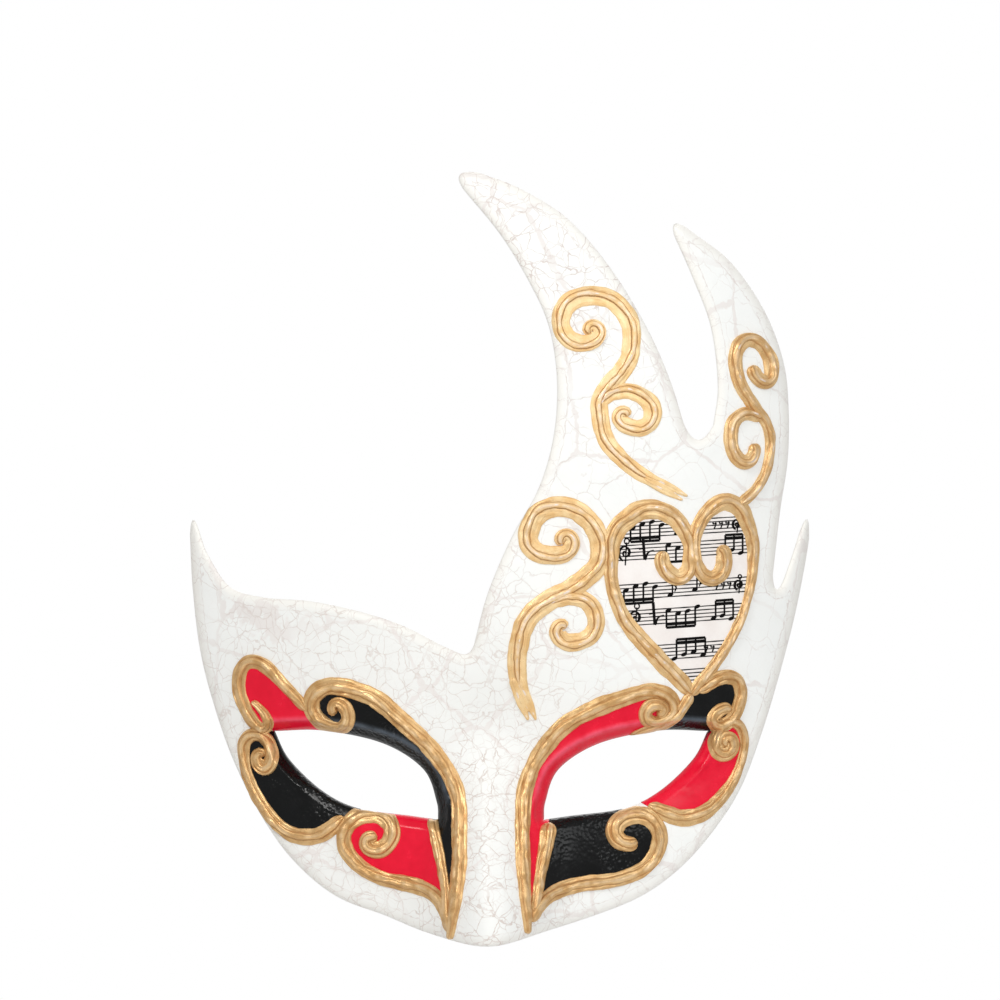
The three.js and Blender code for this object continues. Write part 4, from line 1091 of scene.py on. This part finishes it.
for order, (stroke_name, stroke) in enumerate(STROKES.items()):
    make_scroll(order, stroke_name, *stroke)


# ---------- printed notation ----------
STAFF_TILT = 0.055         # the print climbs this much to the right
STAFF_GAP = 1.07           # between two lines of a staff
HEART_MIDDLE = 57.0
STAFF_LEVELS = (73.0, 66.4, 54.8, 47.0, 36.3, 28.5)
STAFF_ENDS = (33, 82)      # the lines are drawn between these and cut off at the paper's edge
NOTE_GAP = 2.9             # between two notes under one beam
STEM_SIDE = 0.62           # from the middle of a note's head to its stem
STEM_STEPS = 6.5           # a stem's length in half gaps of the staff


def ink_strip(line, half):
    """A closed strip of ink along a line on the paper, with a half width at each point."""
    line = np.asarray(line, float)
    step = np.gradient(line, axis=0)
    side = np.column_stack([-step[:, 1], step[:, 0]])
    side /= np.maximum(np.linalg.norm(side, axis=1, keepdims=True), 1e-9)
    offset = np.outer(half, (-1, -1, 1, 1))
    x = line[:, :1] + side[:, :1] * offset
    z = line[:, 1:] + side[:, 1:] * offset
    root = PAPER - FILM_ROOT
    lift = np.broadcast_to([root, PAPER + INK, PAPER + INK, root], x.shape)
    return closed_run(lay_on_face(x, z, lift))


def on_staff(level, x, steps):
    """A place in the plan: millimetres across, and half gaps above a staff's middle line."""
    return x, level + STAFF_TILT * (x - HEART_MIDDLE) + 0.5 * STAFF_GAP * steps


def straight(start, end, half):
    """A straight line of ink with one half width."""
    line = even(np.array([start, end]), 0.8)
    return line, np.full(len(line), half)


def note_head(level, x, steps):
    """A filled oval head, tilted up to the right."""
    cx, cz = on_staff(level, x, steps)
    t = np.linspace(-1, 1, 9)
    line = np.column_stack([cx + 0.85 * t, cz + 0.36 * t])
    return line, 0.54 * np.sqrt(1 - (0.97 * t) ** 2)


def beamed_group(level, x, steps, gap, above):
    """Note heads joined by stems to one or two thick beams, above or below them."""
    end = STEM_STEPS if above else -STEM_STEPS
    side = STEM_SIDE if above else -STEM_SIDE
    shapes = []
    for i, step in enumerate(steps):
        place = x + gap * i
        shapes.append(note_head(level, place, step))
        shapes.append(straight(on_staff(level, place + side, step),
                               on_staff(level, place + side, end), 0.27))
    last = x + gap * (len(steps) - 1)
    for beam in (end, end - np.sign(end) * 1.7):
        shapes.append(straight(on_staff(level, x + side, beam),
                               on_staff(level, last + side, beam), 0.38))
    return shapes


def flagged_note(level, x, step):
    """A single head with a stem and a curved flag."""
    top = on_staff(level, x + STEM_SIDE, step + STEM_STEPS)
    flag = curve([top, (top[0] + 1.1, top[1] - 1.3), (top[0] + 0.7, top[1] - 2.6)], 0.4)
    return [note_head(level, x, step), straight(on_staff(level, x + STEM_SIDE, step), top, 0.22),
            (flag, np.linspace(0.4, 0.14, len(flag)))]


def opening_sign(level, x, size):
    """A made-up sign at the start of a staff: a coil round an upright, thick in its belly."""
    turn = np.linspace(0.4, 3.4 * np.pi, 46)
    radius = size * 0.2 * turn
    cx, cz = on_staff(level, x, 0)
    coil = np.column_stack([cx + 0.85 * radius * np.cos(turn), cz + radius * np.sin(turn)])
    thickness = 0.17 + 0.24 * np.abs(np.cos(turn)) * np.clip(turn / 6, 0, 1)
    round_top = np.linspace(0, 2 * np.pi, 20)
    knot = np.column_stack([cx + size * (0.4 + 0.62 * np.sin(round_top)),
                            cz + size * (3.0 + 0.7 * np.cos(round_top))])
    return [(coil, thickness), (knot, np.full(len(knot), 0.2)),
            straight(on_staff(level, x, -6 * size), on_staff(level, x + 0.4, 5 * size), 0.2)]


def short_rest(level, x):
    """A small slanting mark with a dot, for silence."""
    start, bottom = on_staff(level, x + 0.5, 1.6), on_staff(level, x - 0.2, -2.2)
    hook = curve([on_staff(level, x - 0.6, 1.0), on_staff(level, x, 0.8), start, bottom], 0.4)
    dot = straight(on_staff(level, x - 0.7, 1.3), on_staff(level, x - 0.3, 1.3), 0.3)
    return [(hook, np.full(len(hook), 0.2)), dot]


def bold_stem(level, x):
    """A heavy upright with a slanting foot, which closes a phrase."""
    foot = curve([on_staff(level, x + 0.2, -4.5), on_staff(level, x + 1.3, -0.5),
                  on_staff(level, x + 2.9, 0.6)], 0.5)
    return [straight(on_staff(level, x - 0.3, 8.0), on_staff(level, x + 0.2, -4.5), 0.42),
            (foot, np.linspace(0.42, 0.14, len(foot))),
            straight(on_staff(level, x - 1.5, 1.6), on_staff(level, x, 1.9), 0.2)]


def heart_notation():
    """Every mark printed on the paper, row by row. The rows alternate between two figures of
    the same invented tune."""
    heart = paper_edge()
    shapes = []
    for row, level in enumerate(STAFF_LEVELS):
        across = np.arange(*STAFF_ENDS, 0.5)
        held = across[inside(heart, np.column_stack([across, np.full(len(across), level)]))]
        left, right = held[0] + 2.6, held[-1] - 2.2
        if right - left < 12:
            continue
        if row == 4:
            shapes += beamed_group(level, left + 4.2, (-4, -2, -1, -3), NOTE_GAP, True)
            shapes += short_rest(level, right - 1.4) + short_rest(level, right - 3.4)
        elif row % 2 == 0:
            shapes += beamed_group(level, left + 1.2, (1, 3, 4, 2), NOTE_GAP, False)
            shapes += flagged_note(level, left + 14.5, -3) + flagged_note(level, 60.5, -1)
            for place in (4.2, 6.2, 8.2):
                shapes += short_rest(level, right - place)
            shapes += opening_sign(level, right - 1.3, 0.8)
        else:
            shapes += opening_sign(level, left + 1.0, 1.15) + bold_stem(level, left + 6.6)
            shapes += beamed_group(level, 52.5, (3, 1, 2, 4), NOTE_GAP, False)
            shapes += beamed_group(level, right - 6.6, (-3, -2, -4), 2.7, True)
    return shapes


def make_notation():
    """The print as one piece: staff lines cut off at the heart's edge, and only the marks
    that lie wholly on the paper."""
    heart = paper_edge()
    parts = []
    for level in STAFF_LEVELS:
        for row in range(-2, 3):
            line = np.column_stack(on_staff(level, np.arange(*STAFF_ENDS, 0.7), 2 * row))
            held = inside(heart, line) & (nearest(heart, line)[0] > 0.4)
            for stretch in np.split(np.arange(len(line)), np.flatnonzero(np.diff(held)) + 1):
                if held[stretch[0]] and len(stretch) > 4:
                    half = 0.155 + 0.03 * waves(line[stretch, 0], 9, row + 7)
                    parts.append(ink_strip(line[stretch], half))
    for line, half in heart_notation():
        if inside(heart, line).all() and nearest(heart, line)[0].min() > 0.5:
            parts.append(ink_strip(line, half))
    print_piece = make_piece("printed_notation", *gathered(parts), [ink], several=True)
    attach(print_piece, "root")


make_notation()

for patch in ("ribbon_patch_left", "ribbon_patch_right"):
    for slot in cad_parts[patch].material_slots:
        slot.material = card


# ---------- camera, lights and floor ----------
def look(obj, target):
    """Turns a camera or a light to face a place."""
    direction = Vector(target) - obj.location
    obj.rotation_euler = direction.to_track_quat("-Z", "Y").to_euler()


CAMERA_DISTANCE = 1.2
FORM_SHIFT = 0.0034        # the face's own set-back from the plane that the view is taken at
VIEW_MIDDLE = (0.00265, 0.081)
FLOOR_LEVEL, FLOOR_REACH = -0.3, 1.5
WORLD_LIGHT = 0.51         # how strongly the studio's walls light the mask; seen, they are white
camera_data = bpy.data.cameras.new("camera")
camera_data.lens = 146.4
camera = bpy.data.objects.new("camera", camera_data)
camera.location = (VIEW_MIDDLE[0], FORM_SHIFT - CAMERA_DISTANCE, VIEW_MIDDLE[1])
bpy.context.collection.objects.link(camera)
look(camera, (VIEW_MIDDLE[0], 0, VIEW_MIDDLE[1]))
bpy.context.scene.camera = camera


def soft_light(name, location, size, power, colour):
    """A square lamp in metres and watts that faces the middle of the mask."""
    lamp = bpy.data.lights.new(name, "AREA")
    lamp.size = size
    lamp.energy = power
    lamp.color = colour
    holder = bpy.data.objects.new(name, lamp)
    holder.location = location
    bpy.context.collection.objects.link(holder)
    look(holder, (0, 0, 0.06))


soft_light("key", (-0.5, -0.9, 1.05), 0.4, 6.8, (1.0, 0.99, 0.975))
soft_light("fill", (0.9, -0.9, 0.75), 0.8, 5.0, (0.97, 0.99, 1.0))
soft_light("front", (0.0, -1.25, 0.5), 0.3, 1.9, (0.98, 0.99, 1.0))
soft_light("low", (0.0, -1.3, -0.15), 0.5, 0.7, (1.0, 0.97, 0.93))
soft_light("back", (0.3, 1.3, 0.7), 1.0, 4, (1.0, 1.0, 1.0))

floor_mesh = bpy.data.meshes.new("floor")
corners = ((-1, -1), (1, -1), (1, 1), (-1, 1))
floor_mesh.from_pydata([(x * FLOOR_REACH, y * FLOOR_REACH, FLOOR_LEVEL) for x, y in corners],
                       [], [(0, 1, 2, 3)])
floor_mesh.materials.append(pale_floor())
floor = bpy.data.objects.new("floor", floor_mesh)
bpy.context.collection.objects.link(floor)

world = bpy.data.worlds.new("studio")
world.use_nodes = True
bpy.context.scene.world = world
tree = world.node_tree
background = tree.nodes["Background"]
background.inputs["Color"].default_value = (1, 1, 1, 1)
seen = add(tree, "LightPath").outputs["Is Camera Ray"]
strength = add(tree, "MapRange", {0: seen, 1: 0.0, 2: 1.0, 3: WORLD_LIGHT, 4: 1.0})
tree.links.new(strength.outputs[0], background.inputs["Strength"])
bpy.context.scene.view_settings.view_transform = "Standard"
